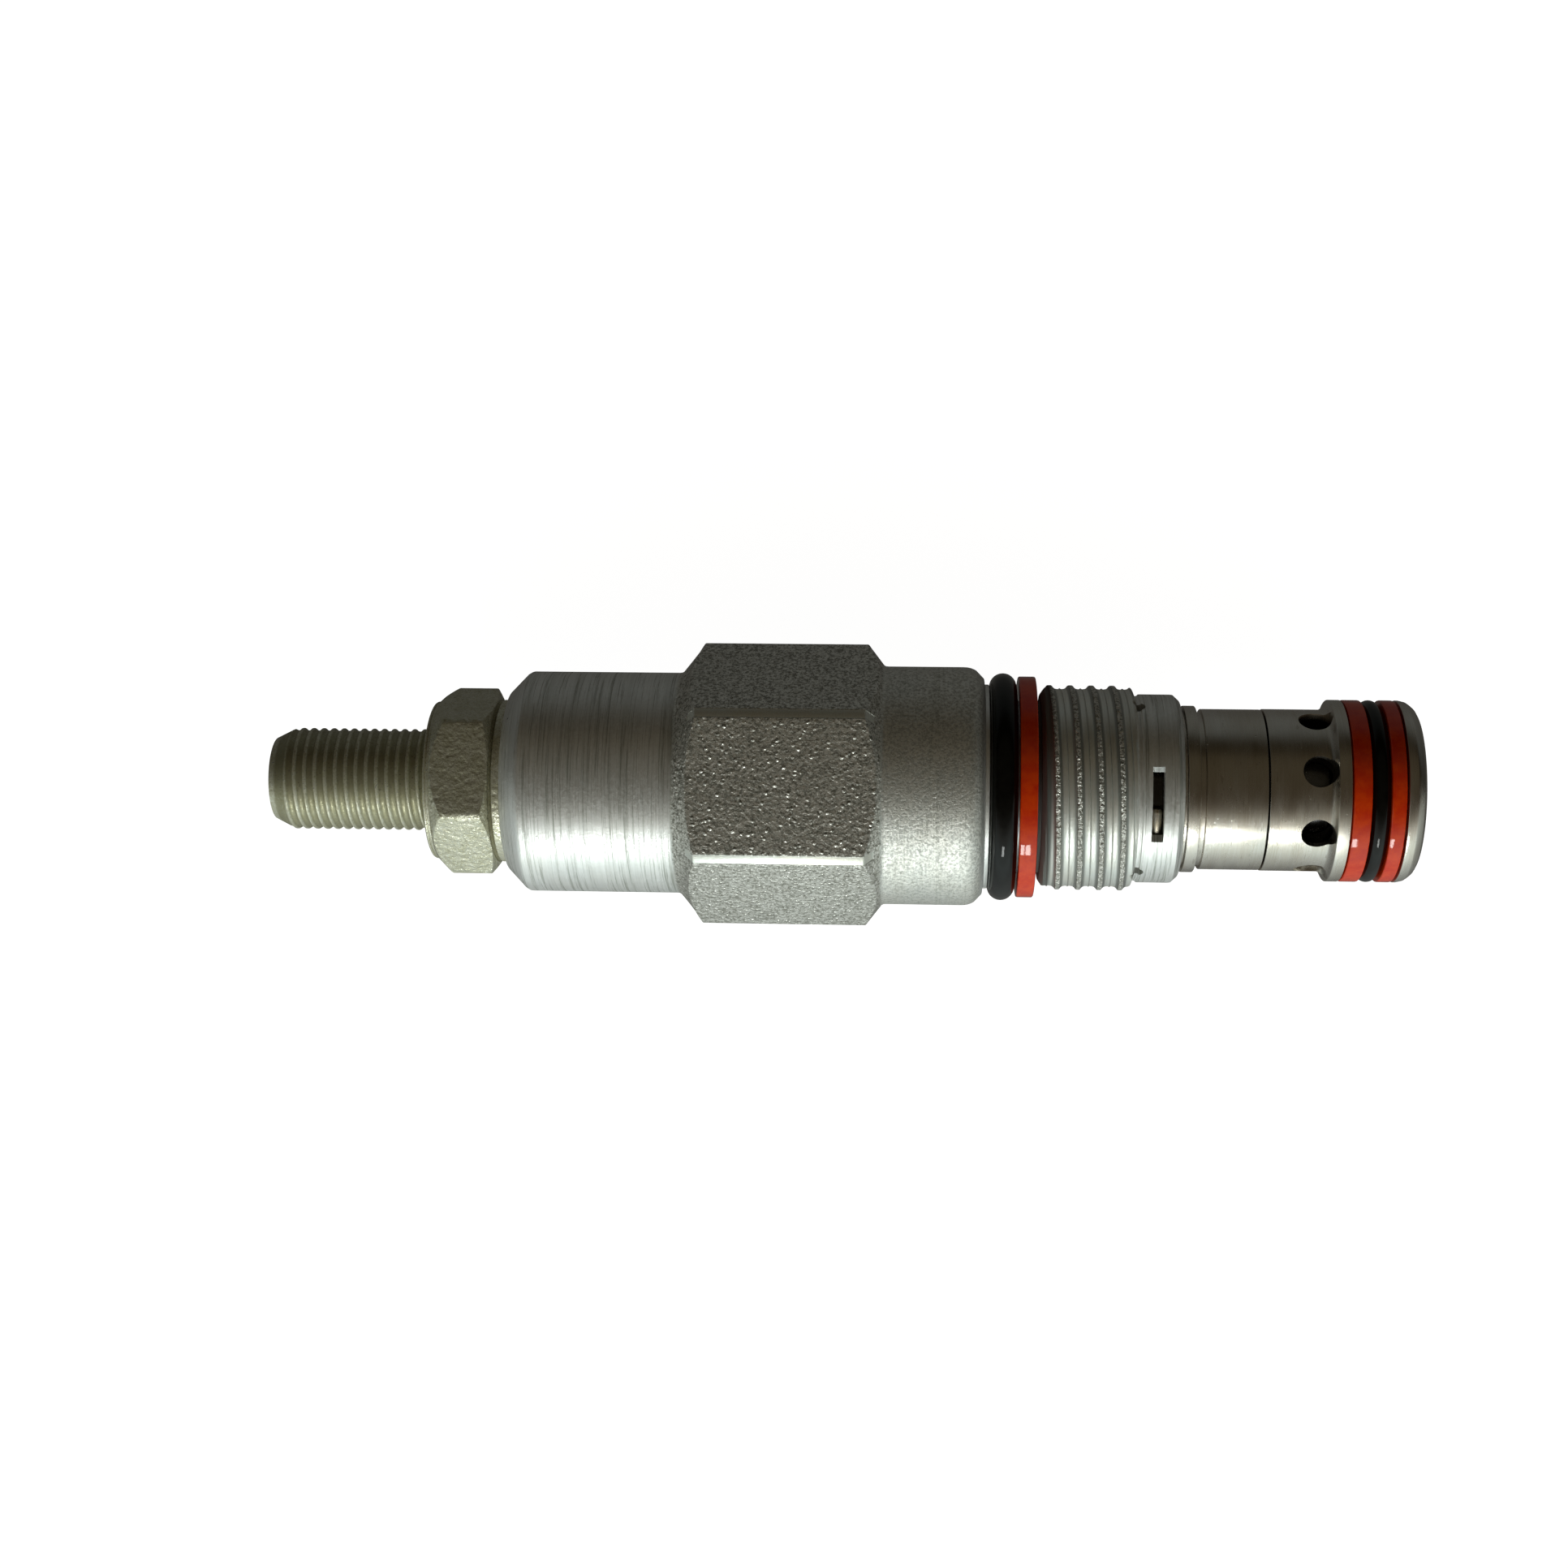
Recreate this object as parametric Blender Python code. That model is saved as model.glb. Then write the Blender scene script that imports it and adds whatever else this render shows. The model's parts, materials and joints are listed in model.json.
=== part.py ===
"""A screw-in, pilot-operated relief cartridge valve, lying on one flat of its wrench hexagon.

The valve's axis is the world X axis. The adjusting end points to -X and the nose to +X, and the origin is on
the axis, halfway along the valve. Every length below is in millimetres, and MM turns it into metres. In an
outline each corner is (x along the axis, radius), and the corners go round the section of the piece.
"""

import math

import bmesh
import bpy
from mathutils import Matrix

MM = 0.001

# ---- driving dimensions ---------------------------------------------------------------------------------

HALF_LENGTH = 54.9

# The cartridge body: two turned barrels either side of a 24 mm hexagon, then the seal gland, the cartridge
# thread and a thin skirt that holds the floating sleeve.
BODY_END_X = -31.65
BARREL_R = 10.7
BODY_END_TAPER = ((BODY_END_X, 8.75), (-29.95, 10.5), (-29.6, BARREL_R))
HEX_ACROSS_FLATS = 24.0
HEX_CORNER_R = 13.6
HEX_BLANK_R = 14.0
HEX_CHAMFER_X = (-15.0, -13.75, -12.7)
HEX_FAR_CHAMFER_X = (2.65, 4.05, 4.7)
SHOULDER_R = 11.5
SHOULDER_ROUNDING = ((12.1, 11.5), (12.7, 11.43), (13.3, 11.18))
SEAT_FACE_X = 14.05
SEAT_FACE_R = (9.85, 10.4)
BODY_SEAL_R = 10.95
GLAND_X = (14.5, 19.4)
GLAND_R = 8.25
CARTRIDGE_THREAD_X = (19.4, 28.0)
CARTRIDGE_THREAD_R = 9.85
SKIRT_X = (28.8, 32.62)
SKIRT_R = 9.05
SKIRT_BORE_R = 7.6

# Tapers at the ends of the thread and the skirt: length, then how much smaller the radius becomes.
THREAD_LEAD_IN = (0.6, 0.9)
THREAD_RUN_OUT = (0.4, 0.2)
SKIRT_TAPER = (0.6, 0.55)

# Bores inside the body, from the adjusting end to the nose.
NECK_BORE_R = 5.05
CHAMBER_X = (-24.0, 8.0)
CHAMBER_R = 6.5
PILOT_POCKET_END_X = 19.6
PILOT_POCKET_R = 7.0

# Three drain holes and the slot through which the retaining wire is fed in.
DRAIN_HOLE_X = 28.55
DRAIN_HOLE_D = 1.25
DRAIN_HOLE_ANGLES = (60.0, 180.0, 300.0)
DRAIN_PIN_R = (6.0, 11.0)
DRAIN_PIN_SIDES = 10
WIRE_GROOVE_X = (29.55, 30.7)
WIRE_GROOVE_DEPTH_R = (7.0, 8.3)
WIRE_D = 1.0
WIRE_R = 7.65
WIRE_ARC = 330.0
WIRE_GAP_ANGLE = 2.2
WIRE_STEPS = 33

# The slot is cut by a thin disc that is fed straight towards the valve's axis, so both its ends slope.
SLOT_ANGLE = -9.0
SLOT_CUTTER_R = 4.74
SLOT_CUTTER_CENTRE_R = 11.44
SLOT_CUTTER_SIDES = 40
SLOT_SIDE_GAP = 0.02

# Adjusting screw M10 x 1 with a collar that keeps it from being wound right out, its nut and washer.
SCREW_THREAD_R = 4.95
SCREW_END_R = 4.0
SCREW_END_BEVEL = 1.9
SCREW_COLLAR_X = (-22.9, -21.7)
SCREW_COLLAR_R = 6.0
SOCKET_ACROSS_FLATS = 5.0
SOCKET_DEPTH = 5.0
NUT_X = (-39.13, -32.6)
NUT_ACROSS_FLATS = 16.0
NUT_TURN = -9.2
NUT_BLANK_R = 9.4
NUT_FACE_R = (7.6, 7.3)
NUT_BOSS = (-38.55, 7.85)
NUT_CHAMFER_X = (-37.0, -33.6)
NUT_BORE_R = 5.1
NUT_BORE_CHAMFER = 0.45
WASHER_X = (-32.5, -31.8)
WASHER_R = (5.3, 7.9)

# Pilot stage: piston, spring, spring guide, poppet and seat.
ADJUST_PISTON_X = (-21.4, -14.8)
ADJUST_PISTON_R = 6.4
ADJUST_GROOVE_X = (-19.6, -16.2)
ADJUST_GROOVE_R = 4.85
PILOT_SPRING_X = (-13.9, -0.7)
PILOT_SPRING_R = 4.5
PILOT_WIRE_D = 1.6
PILOT_TURNS = 5
GUIDE_X = (0.2, 2.2)
GUIDE_R = 6.0
PILOT_SEAT_X = (8.3, 12.8)
PILOT_SEAT_R = 6.9
PILOT_NECK_R = 3.3
PILOT_NECK_END_X = 24.2
PILOT_NECK_GROOVE_X = (20.8, 23.2)
PILOT_NECK_GROOVE_R = 2.2

# Floating sleeve: an adapter that hangs in the skirt, and the main sleeve that is pressed into it.
ADAPTER_X = (19.8, 40.4)
ADAPTER_STEM_R = 7.4
COLLAR_X = (33.0, 34.15)
COLLAR_R = 8.0
COLLAR_RELIEF_END_X = 34.7
ADAPTER_R = 7.7
ADAPTER_CHAMBER_X = 24.6
ADAPTER_CHAMBER_R = 5.6
SPIGOT_X = (31.6, 40.55)
SPIGOT_R = 6.5
SLEEVE_R = 7.75
PISTON_BORE_R = 5.5
PISTON_SEAT_X = 47.0
NOSE_BORE_R = 4.9
LAND_R = 8.7
LAND_X = (46.75, 47.9)
NOSE_GROOVE_END_X = 53.1
NOSE_GROOVE_R = 6.9
CROSS_HOLE_X = 45.1
CROSS_HOLE_D = 2.9
CROSS_HOLE_COUNT = 8
CROSS_HOLE_FIRST_ANGLE = 14.6
CROSS_HOLE_PIN_R = (4.3, 10.0)
CROSS_HOLE_SIDES = 12

# Main stage: piston, spring, orifice, filter screen.
PISTON_X = (33.0, 46.8)
PISTON_R = 5.42
PISTON_CUP_R = 4.7
PISTON_CUP_END_X = 41.6
PISTON_GROOVE_X = (35.5, 38.0, 40.5)
PISTON_GROOVE_WIDTH = 0.6
PISTON_GROOVE_DEPTH = 0.25
SCREEN_RECESS_X = 45.0
SCREEN_RECESS_R = 3.4
MAIN_SPRING_X = (25.4, 41.0)
MAIN_SPRING_R = 4.1
MAIN_WIRE_D = 1.0
MAIN_TURNS = 8
ORIFICE_BORE_R = 1.7

# Gaps: between a seal and its groove, between two fixed pieces that meet, and between a seal and its bore.
SEAL_GAP = 0.1
FIT_GAP = 0.1
BORE_GAP = 0.06

# How far the corner of a bore or a stem is cut back.
EDGE_BREAK = 0.35

# Sides given to a large piece, to the nut and washer, to a small turned piece, and to one turn of a spring.
SEGMENTS = 36
NUT_SEGMENTS = 30
SMALL_SEGMENTS = 20
SPRING_SEGMENTS = 10

# Points closer together than this, in metres, are one point.
WELD = 1e-6

# Colour, roughness and metallic value of each material.
FINISHES = {
    "zinc_steel": ((0.46, 0.50, 0.50), 0.38, 1.0),
    "yellow_zinc_steel": ((0.52, 0.50, 0.38), 0.34, 1.0),
    "bare_steel": ((0.42, 0.39, 0.37), 0.30, 1.0),
    "hard_steel": ((0.55, 0.55, 0.56), 0.22, 1.0),
    "spring_steel": ((0.35, 0.35, 0.37), 0.35, 1.0),
    "black_rubber": ((0.015, 0.015, 0.016), 0.25, 0.0),
    "red_backup": ((0.62, 0.06, 0.02), 0.35, 0.0),
    "screen_mesh": ((0.60, 0.58, 0.52), 0.45, 1.0),
}


# ---- tools ----------------------------------------------------------------------------------------------


def clear_scene():
    for thing in list(bpy.data.objects):
        bpy.data.objects.remove(thing)


def material(name):
    found = bpy.data.materials.get(name)
    if found:
        return found
    colour, roughness, metallic = FINISHES[name]
    made = bpy.data.materials.new(name)
    made.use_nodes = True
    shader = made.node_tree.nodes["Principled BSDF"]
    shader.inputs["Base Color"].default_value = (*colour, 1.0)
    shader.inputs["Roughness"].default_value = roughness
    shader.inputs["Metallic"].default_value = metallic
    return made


def object_from(name, shape, finish=None):
    """A scene object made from a bmesh, which is freed."""
    mesh = bpy.data.meshes.new(name)
    shape.to_mesh(mesh)
    shape.free()
    made = bpy.data.objects.new(name, mesh)
    bpy.context.scene.collection.objects.link(made)
    if finish:
        mesh.materials.append(material(finish))
        mesh.shade_smooth()
        mesh.set_sharp_from_angle(angle=math.radians(30))
    else:
        made.hide_render = True
        made.display_type = "WIRE"
    return made


def turned_shape(outline, segments):
    """The outline spun about the valve's axis. Corners at radius 0 close the piece on the axis."""
    shape = bmesh.new()
    corners = [shape.verts.new((x * MM, 0.0, radius * MM)) for x, radius in outline]
    for first, second in zip(corners, corners[1:] + corners[:1]):
        if first.co.z > 0.0 or second.co.z > 0.0:
            shape.edges.new((first, second))
    bmesh.ops.spin(
        shape,
        geom=shape.verts[:] + shape.edges[:],
        axis=(1.0, 0.0, 0.0),
        cent=(0.0, 0.0, 0.0),
        angle=2.0 * math.pi,
        steps=segments,
        use_merge=True,
    )
    bmesh.ops.remove_doubles(shape, verts=shape.verts[:], dist=WELD)
    bmesh.ops.recalc_face_normals(shape, faces=shape.faces[:])
    return shape


def turned(name, outline, finish, segments=SEGMENTS):
    return object_from(name, turned_shape(outline, segments), finish)


def polygon_prism(corners, start_x, end_x):
    """A bar along the valve's axis, with the given (y, z) corners in millimetres."""
    shape = bmesh.new()
    face = shape.faces.new([shape.verts.new((start_x * MM, y * MM, z * MM)) for y, z in corners])
    grown = bmesh.ops.extrude_face_region(shape, geom=[face])
    moved = [part for part in grown["geom"] if isinstance(part, bmesh.types.BMVert)]
    bmesh.ops.translate(shape, verts=moved, vec=((end_x - start_x) * MM, 0.0, 0.0))
    bmesh.ops.recalc_face_normals(shape, faces=shape.faces[:])
    return shape


def hexagon(across_flats, corner_radius=None, turn=0.0):
    """Corners of a hexagon whose flats face +Z and -Z, its points cut off at corner_radius if given."""
    point = across_flats / 2.0 / math.cos(math.pi / 6.0)
    radius = corner_radius or point
    cut = (point - radius) * math.tan(math.pi / 3.0)
    corners = []
    for index in range(6):
        angle = math.radians(60.0 * index + turn)
        out = (math.cos(angle), math.sin(angle))
        along = (-math.sin(angle), math.cos(angle))
        for side in (-cut, cut) if cut else (0.0,):
            corners.append(tuple(radius * o + side * a for o, a in zip(out, along)))
    return corners


def hex_bar(name, corners, start_x, end_x):
    return object_from(name, polygon_prism(corners, start_x, end_x))


def radial_pins(name, x, angles, diameter, reach, sides):
    """A cutter of round pins that point away from the axis, at angles counted from +Z towards +Y."""
    shape = bmesh.new()
    inner_r, outer_r = reach
    for angle in angles:
        place = (
            Matrix.Rotation(math.radians(-angle), 4, "X")
            @ Matrix.Translation((x * MM, 0.0, (inner_r + outer_r) / 2.0 * MM))
        )
        bmesh.ops.create_cone(
            shape,
            cap_ends=True,
            segments=sides,
            radius1=diameter / 2.0 * MM,
            radius2=diameter / 2.0 * MM,
            depth=(outer_r - inner_r) * MM,
            matrix=place,
        )
    return object_from(name, shape)


def blocks(name, low, high, angles=(0.0,)):
    """A cutter of rectangular blocks: one between two corners, repeated at angles about the axis."""
    size = [(b - a) * MM for a, b in zip(low, high)]
    middle = [(a + b) / 2.0 * MM for a, b in zip(low, high)]
    shape = bmesh.new()
    for angle in angles:
        place = Matrix.Rotation(math.radians(-angle), 4, "X") @ Matrix.Translation(middle)
        bmesh.ops.create_cube(shape, size=1.0, matrix=place @ Matrix.Diagonal((*size, 1.0)))
    return object_from(name, shape)


def boolean(target, tool, operation):
    step = target.modifiers.new(tool.name, "BOOLEAN")
    step.operation = operation
    step.object = tool
    step.solver = "EXACT"


def o_ring(name, start_x, groove_r, outer_r, segments=SEGMENTS, sides=8):
    """A rubber ring of round section that lies in a groove, just clear of the groove's floor."""
    inner_r = groove_r + SEAL_GAP
    section_r = (outer_r - inner_r) / 2.0
    outline = []
    for index in range(sides):
        angle = 2.0 * math.pi * (index + 0.5) / sides
        x = start_x + section_r + section_r * math.cos(angle)
        outline.append((x, inner_r + section_r + section_r * math.sin(angle)))
    return turned(name, outline, "black_rubber", segments)


def backup_ring(name, start_x, end_x, groove_r, outer_r, segments=SEGMENTS):
    inner_r = groove_r + SEAL_GAP
    outline = [(start_x, inner_r), (start_x, outer_r), (end_x, outer_r), (end_x, inner_r)]
    return turned(name, outline, "red_backup", segments)


def wire(name, points, diameter, finish):
    """A round wire through the points in millimetres, with closed ends."""
    curve = bpy.data.curves.new(name, "CURVE")
    curve.dimensions = "3D"
    curve.bevel_depth = diameter / 2.0 * MM
    curve.bevel_resolution = 1
    curve.use_fill_caps = True
    line = curve.splines.new("POLY")
    line.points.add(len(points) - 1)
    for target, (x, y, z) in zip(line.points, points):
        target.co = (x * MM, y * MM, z * MM, 1.0)
    curve.materials.append(material(finish))
    made = bpy.data.objects.new(name, curve)
    bpy.context.scene.collection.objects.link(made)
    return made


def coil_points(start_x, end_x, radius, turns):
    """Points along a helix, whose first and last turns lie nearly flat as on a ground spring."""
    count = turns * SPRING_SEGMENTS
    points = []
    for index in range(count + 1):
        share = index / count
        eased = share - math.sin(2.0 * math.pi * share) / (2.0 * math.pi)
        along = 0.5 * share + 0.5 * eased
        angle = 2.0 * math.pi * index / SPRING_SEGMENTS
        x = start_x + (end_x - start_x) * along
        points.append((x, radius * math.sin(angle), radius * math.cos(angle)))
    return points


# ---- outer pieces ---------------------------------------------------------------------------------------


def valve_body():
    chamfer, far = HEX_CHAMFER_X, HEX_FAR_CHAMFER_X
    flat_r = HEX_ACROSS_FLATS / 2.0
    outline = [
        (BODY_END_X, NECK_BORE_R + EDGE_BREAK),
        *BODY_END_TAPER,
        (chamfer[0], BARREL_R),
        (chamfer[1], flat_r),
        (chamfer[2], HEX_BLANK_R),
        (far[0], HEX_BLANK_R),
        (far[1], flat_r),
        (far[2], SHOULDER_R),
        *SHOULDER_ROUNDING,
        (SEAT_FACE_X, SEAT_FACE_R[1]),
        (SEAT_FACE_X, SEAT_FACE_R[0]),
        (GLAND_X[0], SEAT_FACE_R[0]),
        (GLAND_X[0], GLAND_R),
        (GLAND_X[1], GLAND_R),
        (GLAND_X[1], CARTRIDGE_THREAD_R - THREAD_LEAD_IN[1]),
        (GLAND_X[1] + THREAD_LEAD_IN[0], CARTRIDGE_THREAD_R),
        (CARTRIDGE_THREAD_X[1], CARTRIDGE_THREAD_R),
        (CARTRIDGE_THREAD_X[1] + THREAD_RUN_OUT[0], SKIRT_R - THREAD_RUN_OUT[1]),
        (SKIRT_X[0], SKIRT_R),
        (SKIRT_X[1] - SKIRT_TAPER[0], SKIRT_R),
        (SKIRT_X[1], SKIRT_R - SKIRT_TAPER[1]),
        (SKIRT_X[1], SKIRT_BORE_R),
        (WIRE_GROOVE_X[1], SKIRT_BORE_R),
        (WIRE_GROOVE_X[1], WIRE_GROOVE_DEPTH_R[1]),
        (WIRE_GROOVE_X[0], WIRE_GROOVE_DEPTH_R[1]),
        (WIRE_GROOVE_X[0], SKIRT_BORE_R),
        (PILOT_POCKET_END_X, SKIRT_BORE_R),
        (PILOT_POCKET_END_X, PILOT_POCKET_R),
        (CHAMBER_X[1], PILOT_POCKET_R),
        (CHAMBER_X[1], CHAMBER_R),
        (CHAMBER_X[0], CHAMBER_R),
        (CHAMBER_X[0], NECK_BORE_R),
        (BODY_END_X + EDGE_BREAK, NECK_BORE_R),
    ]
    body = turned("valve_body", outline, "zinc_steel")
    corners = hexagon(HEX_ACROSS_FLATS, HEX_CORNER_R)
    boolean(body, hex_bar("hexagon_bar", corners, -HALF_LENGTH, HALF_LENGTH), "INTERSECT")
    drains = radial_pins(
        "drain_pins", DRAIN_HOLE_X, DRAIN_HOLE_ANGLES, DRAIN_HOLE_D, DRAIN_PIN_R, DRAIN_PIN_SIDES
    )
    boolean(body, drains, "DIFFERENCE")
    boolean(body, slot_disc(), "DIFFERENCE")


def slot_disc():
    """The thin disc, its face square to the valve's axis, that cuts the slot for the retaining wire."""
    shape = bmesh.new()
    place = (
        Matrix.Rotation(math.radians(-SLOT_ANGLE), 4, "X")
        @ Matrix.Translation((sum(WIRE_GROOVE_X) / 2.0 * MM, 0.0, SLOT_CUTTER_CENTRE_R * MM))
        @ Matrix.Rotation(math.radians(90.0), 4, "Y")
    )
    bmesh.ops.create_cone(
        shape,
        cap_ends=True,
        segments=SLOT_CUTTER_SIDES,
        radius1=SLOT_CUTTER_R * MM,
        radius2=SLOT_CUTTER_R * MM,
        depth=(WIRE_GROOVE_X[1] - WIRE_GROOVE_X[0] - 2.0 * SLOT_SIDE_GAP) * MM,
        matrix=place,
    )
    return object_from("slot_disc", shape)


def body_seals():
    o_ring("body_oring", GLAND_X[0] + 0.05, GLAND_R, BODY_SEAL_R)
    backup_ring("body_backup_ring", GLAND_X[0] + 2.8, GLAND_X[1] - 0.45, GLAND_R, BODY_SEAL_R - 0.3)


def retaining_wire():
    middle_x = sum(WIRE_GROOVE_X) / 2.0
    points = []
    for index in range(WIRE_STEPS + 1):
        angle = math.radians(WIRE_GAP_ANGLE + 180.0 + WIRE_ARC * (index / WIRE_STEPS - 0.5))
        points.append((middle_x, WIRE_R * math.sin(angle), WIRE_R * math.cos(angle)))
    wire("retaining_wire", points, WIRE_D, "spring_steel")


def adjusting_screw():
    outline = [
        (-HALF_LENGTH, 0.0),
        (-HALF_LENGTH, SCREW_END_R),
        (-HALF_LENGTH + SCREW_END_BEVEL, SCREW_THREAD_R),
        (SCREW_COLLAR_X[0], SCREW_THREAD_R),
        (SCREW_COLLAR_X[0], SCREW_COLLAR_R),
        (SCREW_COLLAR_X[1], SCREW_COLLAR_R),
        (SCREW_COLLAR_X[1], 0.0),
    ]
    screw = turned("adjusting_screw", outline, "yellow_zinc_steel", SMALL_SEGMENTS)
    socket = hex_bar(
        "socket_bar", hexagon(SOCKET_ACROSS_FLATS), -HALF_LENGTH - 1.0, -HALF_LENGTH + SOCKET_DEPTH
    )
    boolean(screw, socket, "DIFFERENCE")


def lock_nut():
    mouth_r = NUT_BORE_R + NUT_BORE_CHAMFER
    outline = [
        (NUT_X[0], mouth_r),
        (NUT_X[0], NUT_FACE_R[0]),
        NUT_BOSS,
        (NUT_CHAMFER_X[0], NUT_BLANK_R),
        (NUT_CHAMFER_X[1], NUT_BLANK_R),
        (NUT_X[1], NUT_FACE_R[1]),
        (NUT_X[1], mouth_r),
        (NUT_X[1] - NUT_BORE_CHAMFER, NUT_BORE_R),
        (NUT_X[0] + NUT_BORE_CHAMFER, NUT_BORE_R),
    ]
    nut = turned("lock_nut", outline, "yellow_zinc_steel", NUT_SEGMENTS)
    corners = hexagon(NUT_ACROSS_FLATS, turn=NUT_TURN)
    boolean(nut, hex_bar("nut_bar", corners, NUT_X[0] - 1.0, NUT_X[1] + 1.0), "INTERSECT")


def lock_washer():
    outline = [
        (WASHER_X[0], WASHER_R[0]),
        (WASHER_X[0], WASHER_R[1]),
        (WASHER_X[1], WASHER_R[1]),
        (WASHER_X[1], WASHER_R[0]),
    ]
    turned("lock_washer", outline, "yellow_zinc_steel", NUT_SEGMENTS)


# ---- pilot stage ----------------------------------------------------------------------------------------


def adjust_piston():
    boss_r = PILOT_SPRING_R - PILOT_WIRE_D / 2.0 - 0.3
    outline = [
        (ADJUST_PISTON_X[0], 0.0),
        (ADJUST_PISTON_X[0], ADJUST_PISTON_R - 0.4),
        (ADJUST_PISTON_X[0] + 0.4, ADJUST_PISTON_R),
        (ADJUST_GROOVE_X[0], ADJUST_PISTON_R),
        (ADJUST_GROOVE_X[0], ADJUST_GROOVE_R),
        (ADJUST_GROOVE_X[1], ADJUST_GROOVE_R),
        (ADJUST_GROOVE_X[1], ADJUST_PISTON_R),
        (ADJUST_PISTON_X[1], ADJUST_PISTON_R),
        (ADJUST_PISTON_X[1], boss_r),
        (ADJUST_PISTON_X[1] + 2.3, boss_r - 0.3),
        (ADJUST_PISTON_X[1] + 2.3, 0.0),
    ]
    turned("adjust_piston", outline, "bare_steel", SMALL_SEGMENTS)
    seal_r = CHAMBER_R - BORE_GAP
    first_x = ADJUST_GROOVE_X[0] + 0.2
    o_ring("adjust_piston_oring", first_x, ADJUST_GROOVE_R, seal_r, SMALL_SEGMENTS, 6)
    backup_ring(
        "adjust_piston_backup_ring", first_x + 1.7, ADJUST_GROOVE_X[1] - 0.2, ADJUST_GROOVE_R, seal_r,
        SMALL_SEGMENTS,
    )


def pilot_spring():
    points = coil_points(*PILOT_SPRING_X, PILOT_SPRING_R, PILOT_TURNS)
    wire("pilot_spring", points, PILOT_WIRE_D, "spring_steel")


def pilot_spring_guide():
    stem_hole_r = 1.6
    boss_r = PILOT_SPRING_R - PILOT_WIRE_D / 2.0 - 0.4
    outline = [
        (GUIDE_X[0] - 2.6, stem_hole_r),
        (GUIDE_X[0] - 2.6, boss_r - 0.3),
        (GUIDE_X[0], boss_r),
        (GUIDE_X[0], GUIDE_R),
        (GUIDE_X[1], GUIDE_R),
        (GUIDE_X[1], stem_hole_r),
    ]
    turned("pilot_spring_guide", outline, "bare_steel", SMALL_SEGMENTS)


def pilot_poppet():
    stem_r = 1.45
    flange_x = GUIDE_X[1] + 0.2
    outline = [
        (GUIDE_X[0] - 1.6, 0.0),
        (GUIDE_X[0] - 1.6, stem_r),
        (flange_x, stem_r),
        (flange_x, 3.2),
        (flange_x + 1.8, 3.2),
        (flange_x + 2.4, 2.4),
        (PILOT_SEAT_X[0] + 0.4, 0.5),
        (PILOT_SEAT_X[0] + 0.4, 0.0),
    ]
    turned("pilot_poppet", outline, "hard_steel", SMALL_SEGMENTS)


def pilot_seat():
    hole_r = 0.8
    outline = [
        (PILOT_SEAT_X[0], hole_r + 0.6),
        (PILOT_SEAT_X[0], PILOT_SEAT_R),
        (PILOT_SEAT_X[1], PILOT_SEAT_R),
        (PILOT_SEAT_X[1], PILOT_NECK_R),
        (PILOT_NECK_GROOVE_X[0], PILOT_NECK_R),
        (PILOT_NECK_GROOVE_X[0], PILOT_NECK_GROOVE_R),
        (PILOT_NECK_GROOVE_X[1], PILOT_NECK_GROOVE_R),
        (PILOT_NECK_GROOVE_X[1], PILOT_NECK_R),
        (PILOT_NECK_END_X, PILOT_NECK_R),
        (PILOT_NECK_END_X, hole_r),
        (PILOT_SEAT_X[0] + 0.8, hole_r),
    ]
    seat = turned("pilot_seat", outline, "hard_steel", SMALL_SEGMENTS)
    flute_floor_r = 5.7
    low = (PILOT_SEAT_X[0] - 1.0, -1.4, flute_floor_r)
    high = (PILOT_SEAT_X[1] + 1.0, 1.4, PILOT_SEAT_R + 1.0)
    boolean(seat, blocks("drain_flutes", low, high, DRAIN_HOLE_ANGLES), "DIFFERENCE")
    seal_r = PILOT_NECK_R + BORE_GAP
    first_x = PILOT_NECK_GROOVE_X[0] + 0.1
    o_ring("pilot_seat_oring", first_x, PILOT_NECK_GROOVE_R, seal_r, SMALL_SEGMENTS, 6)
    backup_ring(
        "pilot_seat_backup_ring", first_x + 1.2, PILOT_NECK_GROOVE_X[1] - 0.1, PILOT_NECK_GROOVE_R, seal_r,
        SMALL_SEGMENTS,
    )


# ---- floating sleeve and main stage ---------------------------------------------------------------------


def sleeve_adapter():
    neck_bore_r = PILOT_NECK_R + 0.15
    counterbore_r = SPIGOT_R + FIT_GAP
    relief_r = COLLAR_R - 0.7
    outline = [
        (ADAPTER_X[0], neck_bore_r),
        (ADAPTER_X[0], ADAPTER_STEM_R - 0.5),
        (ADAPTER_X[0] + 0.5, ADAPTER_STEM_R),
        (WIRE_GROOVE_X[0], ADAPTER_STEM_R),
        (WIRE_GROOVE_X[0], WIRE_GROOVE_DEPTH_R[0]),
        (WIRE_GROOVE_X[1], WIRE_GROOVE_DEPTH_R[0]),
        (WIRE_GROOVE_X[1], ADAPTER_STEM_R),
        (COLLAR_X[0], ADAPTER_STEM_R),
        (COLLAR_X[0], COLLAR_R),
        (COLLAR_X[1], COLLAR_R),
        (COLLAR_X[1], relief_r),
        (COLLAR_RELIEF_END_X, relief_r),
        (COLLAR_RELIEF_END_X, ADAPTER_R),
        (ADAPTER_X[1], ADAPTER_R),
        (ADAPTER_X[1], counterbore_r),
        (SPIGOT_X[0] - 0.3, counterbore_r),
        (SPIGOT_X[0] - 0.3, ADAPTER_CHAMBER_R),
        (ADAPTER_CHAMBER_X, ADAPTER_CHAMBER_R),
        (ADAPTER_CHAMBER_X, neck_bore_r),
    ]
    turned("sleeve_adapter", outline, "bare_steel")


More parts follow.
